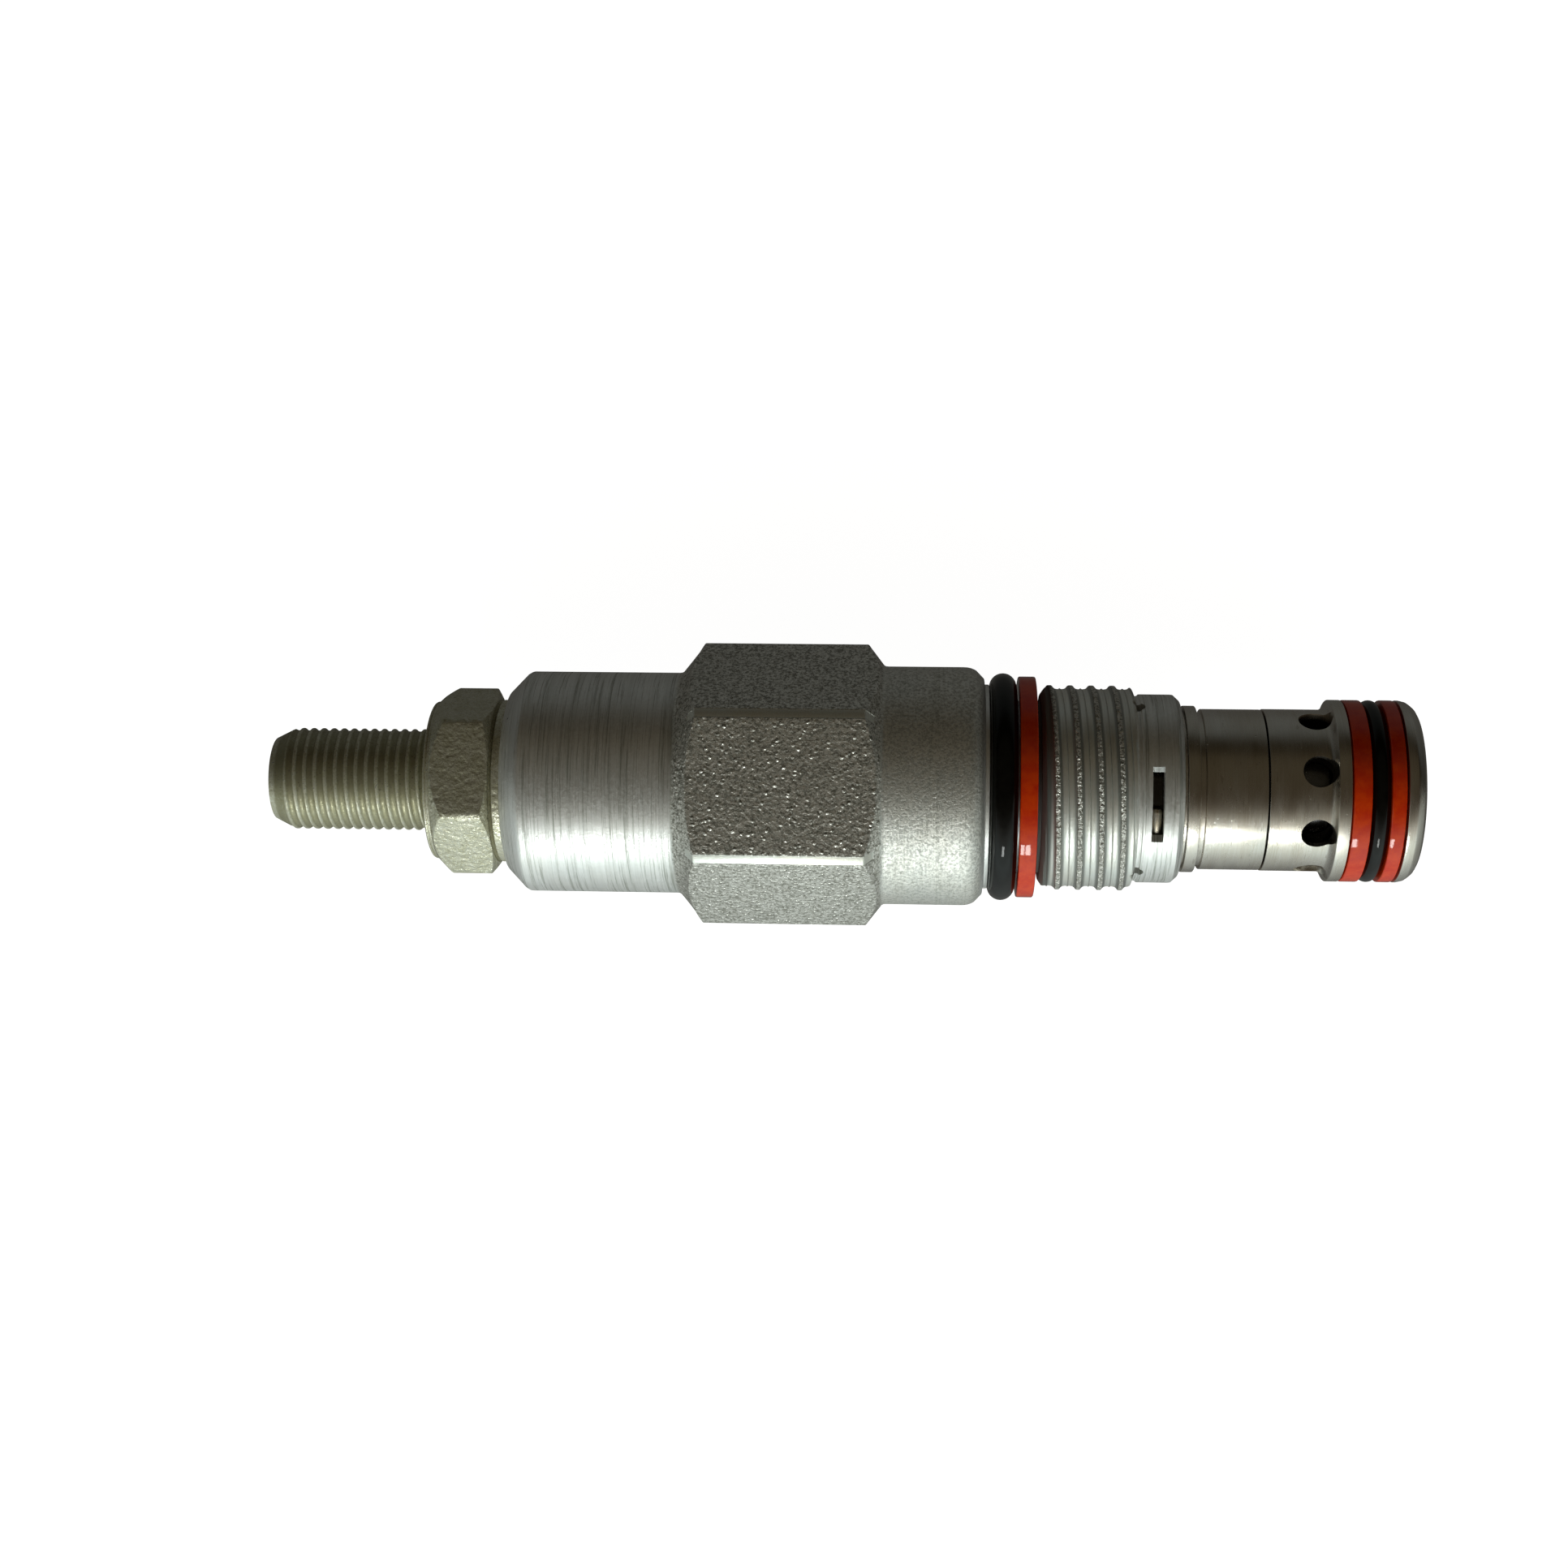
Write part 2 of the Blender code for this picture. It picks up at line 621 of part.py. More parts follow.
def main_sleeve():
    outline = [
        (SPIGOT_X[0], PISTON_BORE_R),
        (SPIGOT_X[0], SPIGOT_R),
        (SPIGOT_X[1], SPIGOT_R),
        (SPIGOT_X[1], SLEEVE_R),
        (LAND_X[0] - 0.65, SLEEVE_R),
        (LAND_X[0], LAND_R),
        (LAND_X[1], LAND_R),
        (LAND_X[1], NOSE_GROOVE_R),
        (NOSE_GROOVE_END_X, NOSE_GROOVE_R),
        (NOSE_GROOVE_END_X, LAND_R),
        (NOSE_GROOVE_END_X + 0.3, LAND_R),
        (HALF_LENGTH - 0.6, LAND_R - 0.35),
        (HALF_LENGTH, LAND_R - 1.1),
        (HALF_LENGTH, NOSE_BORE_R + 0.5),
        (HALF_LENGTH - 0.5, NOSE_BORE_R),
        (PISTON_SEAT_X, NOSE_BORE_R),
        (PISTON_SEAT_X, PISTON_BORE_R),
    ]
    sleeve = turned("main_sleeve", outline, "bare_steel")
    step = 360.0 / CROSS_HOLE_COUNT
    angles = [CROSS_HOLE_FIRST_ANGLE + step * index for index in range(CROSS_HOLE_COUNT)]
    holes = radial_pins(
        "cross_hole_pins", CROSS_HOLE_X, angles, CROSS_HOLE_D, CROSS_HOLE_PIN_R, CROSS_HOLE_SIDES
    )
    boolean(sleeve, holes, "DIFFERENCE")


def nose_seals():
    first_x = LAND_X[1] + 0.15
    backup_ring("nose_backup_ring_inner", first_x, first_x + 1.7, NOSE_GROOVE_R, LAND_R)
    o_ring("nose_oring", first_x + 1.75, NOSE_GROOVE_R, LAND_R)
    backup_ring("nose_backup_ring_outer", first_x + 3.5, NOSE_GROOVE_END_X - 0.2, NOSE_GROOVE_R, LAND_R)


def main_piston():
    groove_r = PISTON_R - PISTON_GROOVE_DEPTH
    outline = [(PISTON_X[0], PISTON_CUP_R), (PISTON_X[0], PISTON_R)]
    for groove_x in PISTON_GROOVE_X:
        outline += [
            (groove_x, PISTON_R),
            (groove_x, groove_r),
            (groove_x + PISTON_GROOVE_WIDTH, groove_r),
            (groove_x + PISTON_GROOVE_WIDTH, PISTON_R),
        ]
    outline += [
        (PISTON_X[1] - 0.5, PISTON_R),
        (PISTON_X[1], PISTON_R - 0.3),
        (PISTON_X[1], SCREEN_RECESS_R),
        (SCREEN_RECESS_X, SCREEN_RECESS_R),
        (SCREEN_RECESS_X, ORIFICE_BORE_R),
        (PISTON_CUP_END_X, ORIFICE_BORE_R),
        (PISTON_CUP_END_X, PISTON_CUP_R),
    ]
    turned("main_piston", outline, "hard_steel", SMALL_SEGMENTS)


def main_spring():
    points = coil_points(*MAIN_SPRING_X, MAIN_SPRING_R, MAIN_TURNS)
    wire("main_spring", points, MAIN_WIRE_D, "spring_steel")


def orifice_and_screen():
    hole_r = 0.4
    plug_r = ORIFICE_BORE_R - FIT_GAP
    plug = [
        (PISTON_CUP_END_X + 0.2, hole_r),
        (PISTON_CUP_END_X + 0.2, plug_r),
        (SCREEN_RECESS_X - 0.2, plug_r),
        (SCREEN_RECESS_X - 0.2, hole_r),
    ]
    turned("orifice_plug", plug, "hard_steel", 16)
    screen_r = SCREEN_RECESS_R - FIT_GAP
    screen_x = (SCREEN_RECESS_X + 0.15, SCREEN_RECESS_X + 0.45)
    screen = [(screen_x[0], 0.0), (screen_x[0], screen_r), (screen_x[1], screen_r), (screen_x[1], 0.0)]
    turned("filter_screen", screen, "screen_mesh", SMALL_SEGMENTS)
    ring_x = (screen_x[1] + 0.15, screen_x[1] + 0.95)
    ring_inner_r = screen_r - 0.8
    ring = [
        (ring_x[0], ring_inner_r),
        (ring_x[0], screen_r),
        (ring_x[1], screen_r),
        (ring_x[1], ring_inner_r),
    ]
    turned("screen_retaining_ring", ring, "spring_steel", SMALL_SEGMENTS)


clear_scene()
valve_body()
body_seals()
retaining_wire()
adjusting_screw()
lock_nut()
lock_washer()
adjust_piston()
pilot_spring()
pilot_spring_guide()
pilot_poppet()
pilot_seat()
sleeve_adapter()
main_sleeve()
nose_seals()
main_piston()
main_spring()
orifice_and_screen()
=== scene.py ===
"""Screw-in relief cartridge valve: finished pieces, floor, light and camera round its CAD model."""

import json
import math

import bmesh
import bpy
import numpy as np
from mathutils import Matrix, Vector

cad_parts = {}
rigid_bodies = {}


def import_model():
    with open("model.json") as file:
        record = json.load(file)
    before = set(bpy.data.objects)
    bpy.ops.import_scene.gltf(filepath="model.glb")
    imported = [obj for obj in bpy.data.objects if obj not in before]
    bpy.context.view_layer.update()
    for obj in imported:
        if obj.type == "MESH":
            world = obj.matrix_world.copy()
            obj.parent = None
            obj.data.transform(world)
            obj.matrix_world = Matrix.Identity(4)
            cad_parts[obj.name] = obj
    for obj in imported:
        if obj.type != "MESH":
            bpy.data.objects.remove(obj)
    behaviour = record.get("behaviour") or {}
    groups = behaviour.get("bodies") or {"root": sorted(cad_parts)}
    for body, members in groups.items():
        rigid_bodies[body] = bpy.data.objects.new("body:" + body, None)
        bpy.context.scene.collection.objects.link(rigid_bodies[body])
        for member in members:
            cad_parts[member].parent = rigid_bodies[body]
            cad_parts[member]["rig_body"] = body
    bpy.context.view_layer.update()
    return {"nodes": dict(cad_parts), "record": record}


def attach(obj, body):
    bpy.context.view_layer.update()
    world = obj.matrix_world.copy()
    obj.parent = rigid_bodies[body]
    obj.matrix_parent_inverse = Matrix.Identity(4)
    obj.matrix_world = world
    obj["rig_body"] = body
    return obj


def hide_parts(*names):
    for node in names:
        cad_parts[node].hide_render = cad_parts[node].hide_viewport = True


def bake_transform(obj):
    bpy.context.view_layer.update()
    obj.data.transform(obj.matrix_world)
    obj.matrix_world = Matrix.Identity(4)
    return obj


# Lengths are in millimetres along the valve's axis (x) and out from it (radius). The meshes are in metres.
# Angles round the axis start at +Z and turn towards +Y.
MM = 0.001
TURN = 2.0 * math.pi
WELD = 0.0005

HALF_LENGTH = 54.9
COLUMNS = 192
FINE_COLUMNS = 96
SMOOTH_ANGLE = math.radians(28.0)

# An even angle closer than this share of a step to an extra one is left out.
CROWDED = 0.3

# A corner is rounded in CORNER_STEPS, unless the cosine between its two sides is below STRAIGHT. The
# rounding takes no more than CORNER_SHARE of a side.
CORNER_STEPS = 3
CORNER_SHARE = 0.35
STRAIGHT = -0.94

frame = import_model()


# ---- shapes ---------------------------------------------------------------------------------------------


def angles_round(count, extra=()):
    """Even angles, with extra ones instead of those that they crowd. The last repeats the first."""
    step = TURN / count
    extra = np.array(sorted(angle % TURN for angle in extra))
    even = np.arange(count) * step
    if len(extra):
        apart = np.abs((even[:, None] - extra[None, :] + math.pi) % TURN - math.pi).min(axis=1)
        even = even[apart > CROWDED * step]
    angles = np.sort(np.concatenate([even, extra]))
    return np.append(angles, angles[0] + TURN)


def eased(outline, size):
    """The outline with its corners rounded off. It is a loop, unless it starts and ends on the axis."""
    loop = outline[0][1] > 0.0
    points = [np.array(point, float) for point in outline]
    result = []
    for index, point in enumerate(points):
        ends = index in (0, len(points) - 1)
        if ends and not loop:
            result.append(tuple(point))
            continue
        before = points[index - 1] - point
        after = points[(index + 1) % len(points)] - point
        before_length = np.linalg.norm(before)
        after_length = np.linalg.norm(after)
        bend = np.dot(before, after) / (before_length * after_length)
        if bend < STRAIGHT:
            result.append(tuple(point))
            continue
        cut = min(size, CORNER_SHARE * before_length, CORNER_SHARE * after_length)
        start = point + before * cut / before_length
        end = point + after * cut / after_length
        for step in range(CORNER_STEPS + 1):
            share = step / CORNER_STEPS
            middle = start * (1 - share) ** 2 + point * 2 * share * (1 - share) + end * share**2
            result.append(tuple(middle))
    if loop:
        result.append(result[0])
    return result


def rings(stations, angles):
    """Grids of x and radius from stations whose x and radius are each a number or one value an angle."""
    x = np.array([np.broadcast_to(station[0], angles.shape) for station in stations])
    radius = np.array([np.broadcast_to(station[1], angles.shape) for station in stations])
    return x, radius


def set_shading(mesh):
    mesh.polygons.foreach_set("use_smooth", [True] * len(mesh.polygons))
    mesh.set_sharp_from_angle(angle=SMOOTH_ANGLE)
    mesh.update()


def object_from(name, points, faces, weld=WELD):
    """A closed object from points in millimetres. Doubled points are joined and faces turned outwards."""
    mesh = bpy.data.meshes.new(name)
    mesh.from_pydata((np.asarray(points) * MM).tolist(), [], faces)
    work = bmesh.new()
    work.from_mesh(mesh)
    bmesh.ops.remove_doubles(work, verts=work.verts, dist=weld * MM)
    bmesh.ops.dissolve_degenerate(work, dist=weld * MM, edges=work.edges)
    bmesh.ops.recalc_face_normals(work, faces=work.faces)
    work.to_mesh(mesh)
    work.free()
    set_shading(mesh)
    made = bpy.data.objects.new(name, mesh)
    bpy.context.scene.collection.objects.link(made)
    return made


def skin(name, grids, angles):
    """One closed surface round the axis, from grids of rings that meet at their end rings."""
    points, faces = [], []
    for x, radius in grids:
        rows, columns = x.shape
        start = len(points)
        block = np.stack([x, radius * np.sin(angles), radius * np.cos(angles)], axis=-1)
        points.extend(block.reshape(-1, 3).tolist())
        for row in range(rows - 1):
            first = start + row * columns
            for column in range(first, first + columns - 1):
                faces.append((column, column + 1, column + columns + 1, column + columns))
    return object_from(name, points, faces)


def turned(name, outline, size, columns=COLUMNS):
    """A solid of revolution whose corners are rounded off by size."""
    angles = angles_round(columns)
    return skin(name, [rings(eased(outline, size), angles)], angles)


def hex_radius(angles, across_flats, corner_r, first_flat=0.0):
    """Distance from the axis to a hexagon whose corners are turned down to corner_r."""
    sixth = TURN / 6.0
    from_flat = (angles - first_flat + sixth / 2.0) % sixth - sixth / 2.0
    return np.minimum(across_flats / 2.0 / np.cos(from_flat), corner_r)


def hex_edges(across_flats, corner_r, first_flat=0.0, edge=math.radians(0.3)):
    """Angles just either side of the lines where a hexagon's flats meet its turned corners."""
    reach = math.acos(across_flats / 2.0 / corner_r)
    edges = []
    for flat in range(6):
        centre = first_flat + flat * TURN / 6.0
        for line in (-reach, reach):
            edges += [centre + line - edge, centre + line + edge]
    return edges


def thread(x_range, end_radii, pitch, phase, profile, limit, angles):
    """Grid of a right-hand thread. profile gives radii along a pitch, and limit the largest radius at x."""
    low, high = x_range
    first = math.floor((low - phase) / pitch) - 2
    last = math.ceil((high - phase) / pitch + angles[-1] / TURN) + 1
    x_rows, radius_rows = [], []
    for number in range(first, last + 1):
        for offset, radius in profile:
            x = phase + number * pitch + offset - pitch * angles / TURN
            radii = np.minimum(radius, limit(np.clip(x, low, high)))
            radii = np.where(x <= low, end_radii[0], np.where(x >= high, end_radii[1], radii))
            x_rows.append(np.clip(x, low, high))
            radius_rows.append(radii)
    return np.array(x_rows), np.array(radius_rows)


def tube(points, radius, sides, end_share=1.0):
    """Points and faces of a round bar along points. Its ends are flat, and end_share narrows them."""
    points = [Vector(point) for point in points]
    ring_points, faces = [], []
    side = None
    for index, point in enumerate(points):
        ahead = points[min(index + 1, len(points) - 1)] - points[max(index - 1, 0)]
        ahead.normalize()
        if side is None:
            side = ahead.orthogonal().normalized()
        side = (side - ahead * side.dot(ahead)).normalized()
        other = ahead.cross(side)
        size = radius * end_share if index in (0, len(points) - 1) else radius
        for step in range(sides):
            angle = TURN * step / sides
            across = side * size * math.cos(angle)
            up = other * size * math.sin(angle)
            ring_points.append(tuple(point + across + up))
    for row in range(len(points) - 1):
        for step in range(sides):
            a = row * sides + step
            b = row * sides + (step + 1) % sides
            faces.append((a, b, b + sides, a + sides))
    last = (len(points) - 1) * sides
    faces.append(tuple(range(sides - 1, -1, -1)))
    faces.append(tuple(range(last, last + sides)))
    return ring_points, faces


def coil_points(x_range, radius, turns, per_turn=56):
    """Centre line of a compression spring whose end turns lie closer together."""
    count = turns * per_turn
    points = []
    for index in range(count + 1):
        share = index / count
        along = share - math.sin(TURN * share) / (2.0 * TURN)
        angle = TURN * index / per_turn
        x = x_range[0] + (x_range[1] - x_range[0]) * along
        points.append((x, radius * math.sin(angle), radius * math.cos(angle)))
    return points


def radial_cutter(name, x, angle, outline, sides=40):
    """A round tool that points out from the axis. outline gives (distance from the axis, tool radius)."""
    out = Vector((0.0, math.sin(angle), math.cos(angle)))
    along = Vector((1.0, 0.0, 0.0))
    across = out.cross(along)
    points, faces = [], []
    for distance, radius in outline:
        centre = Vector((x, 0.0, 0.0)) + out * distance
        for step in range(sides):
            turn = TURN * step / sides
            ahead = along * radius * math.cos(turn)
            aside = across * radius * math.sin(turn)
            points.append(tuple(centre + ahead + aside))
    for row in range(len(outline) - 1):
        for step in range(sides):
            a = row * sides + step
            b = row * sides + (step + 1) % sides
            faces.append((a, b, b + sides, a + sides))
    last = (len(outline) - 1) * sides
    faces.append(tuple(range(sides - 1, -1, -1)))
    faces.append(tuple(range(last, last + sides)))
    return object_from(name, points, faces)


def disc_cutter(name, x_range, centre_r, angle, radius, sides=72):
    """A thin disc whose face is square to the valve's axis, with its middle off to one side."""
    middle_y, middle_z = centre_r * math.sin(angle), centre_r * math.cos(angle)
    turns = [TURN * step / sides for step in range(sides)]
    points = [
        (x, middle_y + radius * math.sin(turn), middle_z + radius * math.cos(turn))
        for x in x_range
        for turn in turns
    ]
    faces = [(step, (step + 1) % sides, sides + (step + 1) % sides, sides + step) for step in range(sides)]
    faces.append(tuple(range(sides - 1, -1, -1)))
    faces.append(tuple(range(sides, 2 * sides)))
    return object_from(name, points, faces)


def cut(piece, cutters):
    """Takes the cutters out of the piece for good, and removes them."""
    for cutter in cutters:
        step = piece.modifiers.new(cutter.name, "BOOLEAN")
        step.operation = "DIFFERENCE"
        step.solver = "EXACT"
        step.object = cutter
    graph = bpy.context.evaluated_depsgraph_get()
    mesh = bpy.data.meshes.new_from_object(piece.evaluated_get(graph))
    mesh.name = piece.name
    piece.modifiers.clear()
    piece.data = mesh
    set_shading(mesh)
    for cutter in cutters:
        bpy.data.objects.remove(cutter)


# ---- finishes -------------------------------------------------------------------------------------------

HEX_ACROSS_FLATS = 24.0
HEX_CORNER_R = 13.6
HEX_EDGE_ANGLE = math.acos(HEX_ACROSS_FLATS / 2.0 / HEX_CORNER_R)


class Finish:
    """A material and short ways to add procedural nodes to it."""

    def __init__(self, name):
        self.material = bpy.data.materials.new(name)
        self.material.use_nodes = True
        self.tree = self.material.node_tree
        self.shader = self.tree.nodes["Principled BSDF"]
        place = self.tree.nodes.new("ShaderNodeTexCoord").outputs["Object"]
        self.place = self.vector("MULTIPLY", place, (1 / MM,) * 3)

    def put(self, socket, value):
        if isinstance(value, bpy.types.NodeSocket):
            self.tree.links.new(value, socket)
        else:
            socket.default_value = value

    def vector(self, operation, a, b):
        made = self.tree.nodes.new("ShaderNodeVectorMath")
        made.operation = operation
        self.put(made.inputs[0], a)
        self.put(made.inputs[1], b)
        return made.outputs["Value" if operation == "LENGTH" else "Vector"]

    def math(self, operation, a, b=0.0):
        made = self.tree.nodes.new("ShaderNodeMath")
        made.operation = operation
        self.put(made.inputs[0], a)
        self.put(made.inputs[1], b)
        return made.outputs[0]

    def axis(self, name):
        made = self.tree.nodes.new("ShaderNodeSeparateXYZ")
        self.put(made.inputs[0], self.place)
        return made.outputs[name]

    def from_flat(self):
        """Angle from the middle of the nearest flat of a hexagon that has one flat up."""
        angle = self.math("ARCTAN2", self.axis("Y"), self.axis("Z"))
        return self.math("PINGPONG", angle, TURN / 12.0)

    def radius(self):
        return self.vector("LENGTH", self.vector("MULTIPLY", self.place, (0.0, 1.0, 1.0)), (0.0, 0.0, 0.0))

    def scaled(self, scale, stretch):
        """Places counted in features, of which scale fit in a millimetre. stretch multiplies each axis."""
        return self.vector("MULTIPLY", self.place, tuple(scale * share for share in stretch))

    def noise(self, scale, detail=3.0, stretch=(1.0, 1.0, 1.0), rough=0.55):
        """Noise from 0 to 1. scale is in features a millimetre, and stretch multiplies it on each axis."""
        made = self.tree.nodes.new("ShaderNodeTexNoise")
        made.inputs["Scale"].default_value = 1.0
        made.inputs["Detail"].default_value = detail
        made.inputs["Roughness"].default_value = rough
        self.put(made.inputs["Vector"], self.scaled(scale, stretch))
        return made.outputs["Fac"]

    def cells(self, scale):
        """Distance to the nearest of scattered points, in cells. scale is in cells a millimetre."""
        made = self.tree.nodes.new("ShaderNodeTexVoronoi")
        made.inputs["Scale"].default_value = 1.0
        self.put(made.inputs["Vector"], self.scaled(scale, (1.0, 1.0, 1.0)))
        return made.outputs["Distance"]

    def span(self, value, low, high, to_low=0.0, to_high=1.0):
        """value carried from low..high to to_low..to_high, and held at the ends."""
        made = self.tree.nodes.new("ShaderNodeMapRange")
        made.interpolation_type = "SMOOTHSTEP"
        self.put(made.inputs["Value"], value)
        made.inputs["From Min"].default_value = low
        made.inputs["From Max"].default_value = high
        made.inputs["To Min"].default_value = to_low
        made.inputs["To Max"].default_value = to_high
        return made.outputs["Result"]

    def band(self, value, rise, fall):
        """1 between two ranges and 0 outside them, with a soft step over each."""
        return self.math("MULTIPLY", self.span(value, *rise), self.span(value, fall[1], fall[0]))

    def blend(self, share, a, b):
        """Numbers a and b mixed by share."""
        made = self.tree.nodes.new("ShaderNodeMix")
        made.data_type = "FLOAT"
        self.put(made.inputs["Factor"], share)
        self.put(made.inputs["A"], a)
        self.put(made.inputs["B"], b)
        return made.outputs["Result"]

    def colours(self, share, a, b):
        """Colours a and b mixed by share."""
        made = self.tree.nodes.new("ShaderNodeMix")
        made.data_type = "RGBA"
        sockets = [socket for socket in made.inputs if socket.type == "RGBA"]
        self.put(made.inputs["Factor"], share)
        self.put(sockets[0], a if isinstance(a, bpy.types.NodeSocket) else (*a, 1.0))
        self.put(sockets[1], b if isinstance(b, bpy.types.NodeSocket) else (*b, 1.0))
        return [socket for socket in made.outputs if socket.type == "RGBA"][0]

    def relief(self, height, depth, strength):
        """A bump of that depth in millimetres."""
        made = self.tree.nodes.new("ShaderNodeBump")
        made.inputs["Strength"].default_value = strength
        made.inputs["Distance"].default_value = depth * MM
        self.put(made.inputs["Height"], height)
        return made.outputs["Normal"]

    def set(self, **values):
        """Sets the shader's sockets by name and gives the material."""
        for name, value in values.items():
            socket = self.shader.inputs[name.replace("_", " ")]
            if isinstance(value, tuple):
                value = (*value, 1.0)
            self.put(socket, value)
        return self.material


# Noise stretched round the axis, as a lathe tool leaves it.
TURNED = (1.0, 0.015, 0.015)

# The body's zones: the range over which each fades in and, in those with two, the range where it fades out.
HEXAGON_X = ((-15.3, -14.8), (4.2, 4.6))
SHOULDER_X = ((4.2, 4.6), (13.6, 14.0))
THREAD_X = ((19.0, 19.6), (28.0, 28.5))
BY_RING_X = ((18.6, 18.9), (20.1, 20.7))
FLANK_RADII = ((9.51, 9.58), (9.74, 9.82))
CREST_RADII = (9.72, 9.80)
CORNER_RADII = (12.3, 12.6)
CORNER_ANGLES = (HEX_EDGE_ANGLE - 0.004, HEX_EDGE_ANGLE + 0.003)

ZINC_COOL = (0.92, 0.95, 0.90)
ZINC_WARM = (0.93, 0.92, 0.83)
STROKE_DARK = (0.36, 0.37, 0.34)
STROKE_LIGHT = (1.0, 1.0, 1.0)
GRAIN_DARK = (0.32, 0.31, 0.27)
GRAIN_LIGHT = (1.0, 0.98, 0.92)
PIT_DARK = (0.05, 0.05, 0.045)
# Painted shade on the thread flanks.
FLANK_PAINTED_SHADE = (0.34, 0.35, 0.33)
# Painted shade on the body just beside the backup ring.
RING_PAINTED_SHADE = (0.13, 0.14, 0.13)


def zinc_body_finish():
    """Clear zinc: turned marks on the barrels, a blasted hexagon with worn corners, rough thread crests,
    and painted shade on the thread flanks and beside the backup ring.
    """
    look = Finish("zinc_plate")
    x = look.axis("X")
    radius = look.radius()
    from_flat = look.from_flat()
    on_hexagon = look.band(x, *HEXAGON_X)
    on_shoulder = look.band(x, *SHOULDER_X)
    on_thread = look.band(x, *THREAD_X)
    by_ring = look.band(x, *BY_RING_X)
    on_crests = look.math("MULTIPLY", on_thread, look.span(radius, *CREST_RADII))
    painted_flank_shade = look.math("MULTIPLY", look.band(radius, *FLANK_RADII), on_thread)
    in_roots = look.math("SUBTRACT", on_thread, on_crests)
    corner = look.math("MULTIPLY", on_hexagon, look.span(radius, *CORNER_RADII))
    corner = look.math("MULTIPLY", look.span(from_flat, *CORNER_ANGLES), corner)
    grainy = look.math("MAXIMUM", look.math("SUBTRACT", on_hexagon, corner), on_crests)
    turned_area = look.math("SUBTRACT", 1.0, look.math("MAXIMUM", on_hexagon, on_crests))

    shades = look.span(look.noise(0.8, 3.0, TURNED, 0.8), 0.35, 0.60)
    scratches = look.span(look.noise(4.6, 4.0, TURNED, 0.8), 0.36, 0.50)
    lines = look.math("ADD", look.math("MULTIPLY", shades, 0.25), look.math("MULTIPLY", scratches, 0.75))
    pebbles = look.noise(2.6, 3.0, rough=0.6)
    dots = look.span(look.cells(1.5), 0.08, 0.34, 1.0, 0.0)
    fine = look.noise(3.2, 3.0, rough=0.8)
    pits = look.span(look.cells(0.28), 0.0, 0.045, 1.0, 0.0)

    tone = look.noise(0.35, 4.0)
    colour = look.colours(look.span(tone, 0.35, 0.65), ZINC_COOL, ZINC_WARM)
    stroke = look.colours(lines, STROKE_DARK, STROKE_LIGHT)
    line_share = look.math("MULTIPLY", turned_area, look.blend(on_shoulder, 0.8, 0.45))
    line_share = look.math("MULTIPLY", line_share, look.blend(in_roots, 1.0, 0.4))
    colour = look.colours(line_share, colour, stroke)
    grain = look.colours(look.span(fine, 0.40, 0.58), GRAIN_DARK, GRAIN_LIGHT)
    shoulder_share = look.math("MULTIPLY", on_shoulder, 0.5)
    grain_share = look.math("MAXIMUM", look.math("MULTIPLY", grainy, 0.95), shoulder_share)
    colour = look.colours(grain_share, colour, grain)
    colour = look.colours(look.math("MULTIPLY", pits, 0.8), colour, PIT_DARK)
    # Painted shade: the thread flanks are darkened.
    colour = look.colours(look.math("MULTIPLY", painted_flank_shade, 0.85), colour, FLANK_PAINTED_SHADE)
    # Painted shade: the body is darkened just beside the backup ring.
    colour = look.colours(look.math("MULTIPLY", by_ring, 0.9), colour, RING_PAINTED_SHADE)

    glossy = look.math("ADD", look.math("MULTIPLY", fine, 0.9), look.math("MULTIPLY", lines, 0.1))
    rough = look.span(glossy, 0.42, 0.64, 0.49, 0.33)
    rough = look.blend(grainy, rough, look.span(fine, 0.4, 0.6, 0.46, 0.26))
    rough = look.blend(look.math("MAXIMUM", in_roots, corner), rough, 0.38)
    rough = look.blend(by_ring, rough, 0.75)

    turned_marks = look.math("MULTIPLY", lines, 0.01)
    fine_marks = look.math("MULTIPLY", fine, look.blend(on_shoulder, 0.07, 0.26))
    turned_marks = look.math("ADD", turned_marks, fine_marks)
    pebble_marks = look.math("MULTIPLY", pebbles, look.blend(on_crests, 0.48, 1.3))
    shot_marks = look.math("ADD", pebble_marks, look.math("MULTIPLY", dots, 0.24))
    marks = look.blend(grainy, turned_marks, shot_marks)
    normal = look.relief(marks, 0.30, 1.0)
    return look.set(Base_Color=colour, Metallic=0.71, Roughness=rough, Normal=normal)


def yellow_zinc_finish():
    """Thin yellow passivation over zinc, for the screw, nut and washer. The screw's grooves are darker with
    painted shade.
    """
    look = Finish("yellow_zinc")
    radius = look.radius()
    on_nut = look.math("MULTIPLY", look.span(look.axis("X"), -38.6, -38.3), look.span(radius, 7.8, 7.95))
    patches = look.noise(0.8, 4.0)
    fine = look.noise(4.0, 4.0, rough=0.7)
    colour = look.colours(look.span(patches, 0.35, 0.65), (0.64, 0.62, 0.46), (0.73, 0.71, 0.57))
    colour = look.colours(look.span(fine, 0.48, 0.66, 0.0, 0.6), colour, (1.0, 1.0, 0.88))
    colour = look.colours(look.span(fine, 0.46, 0.34, 0.0, 0.5), colour, (0.36, 0.33, 0.22))
    # Painted shade: the screw's thread grooves are darkened.
    painted_groove_shade = look.band(radius, (4.2, 4.4), (4.78, 4.90))
    colour = look.colours(look.math("MULTIPLY", painted_groove_shade, 0.8), colour, (0.32, 0.30, 0.17))
    rough = look.span(fine, 0.35, 0.65, 0.54, 0.26)
    pebbles = look.noise(1.7, 4.0)
    dents = look.span(look.cells(1.1), 0.0, 0.32, 1.0, 0.0)
    dimples = look.math("SUBTRACT", pebbles, look.math("MULTIPLY", dents, 0.25))
    normal = look.relief(look.blend(on_nut, look.math("MULTIPLY", fine, 0.15), dimples), 0.2, 0.9)
    return look.set(Base_Color=colour, Metallic=0.60, Roughness=rough, Normal=normal)


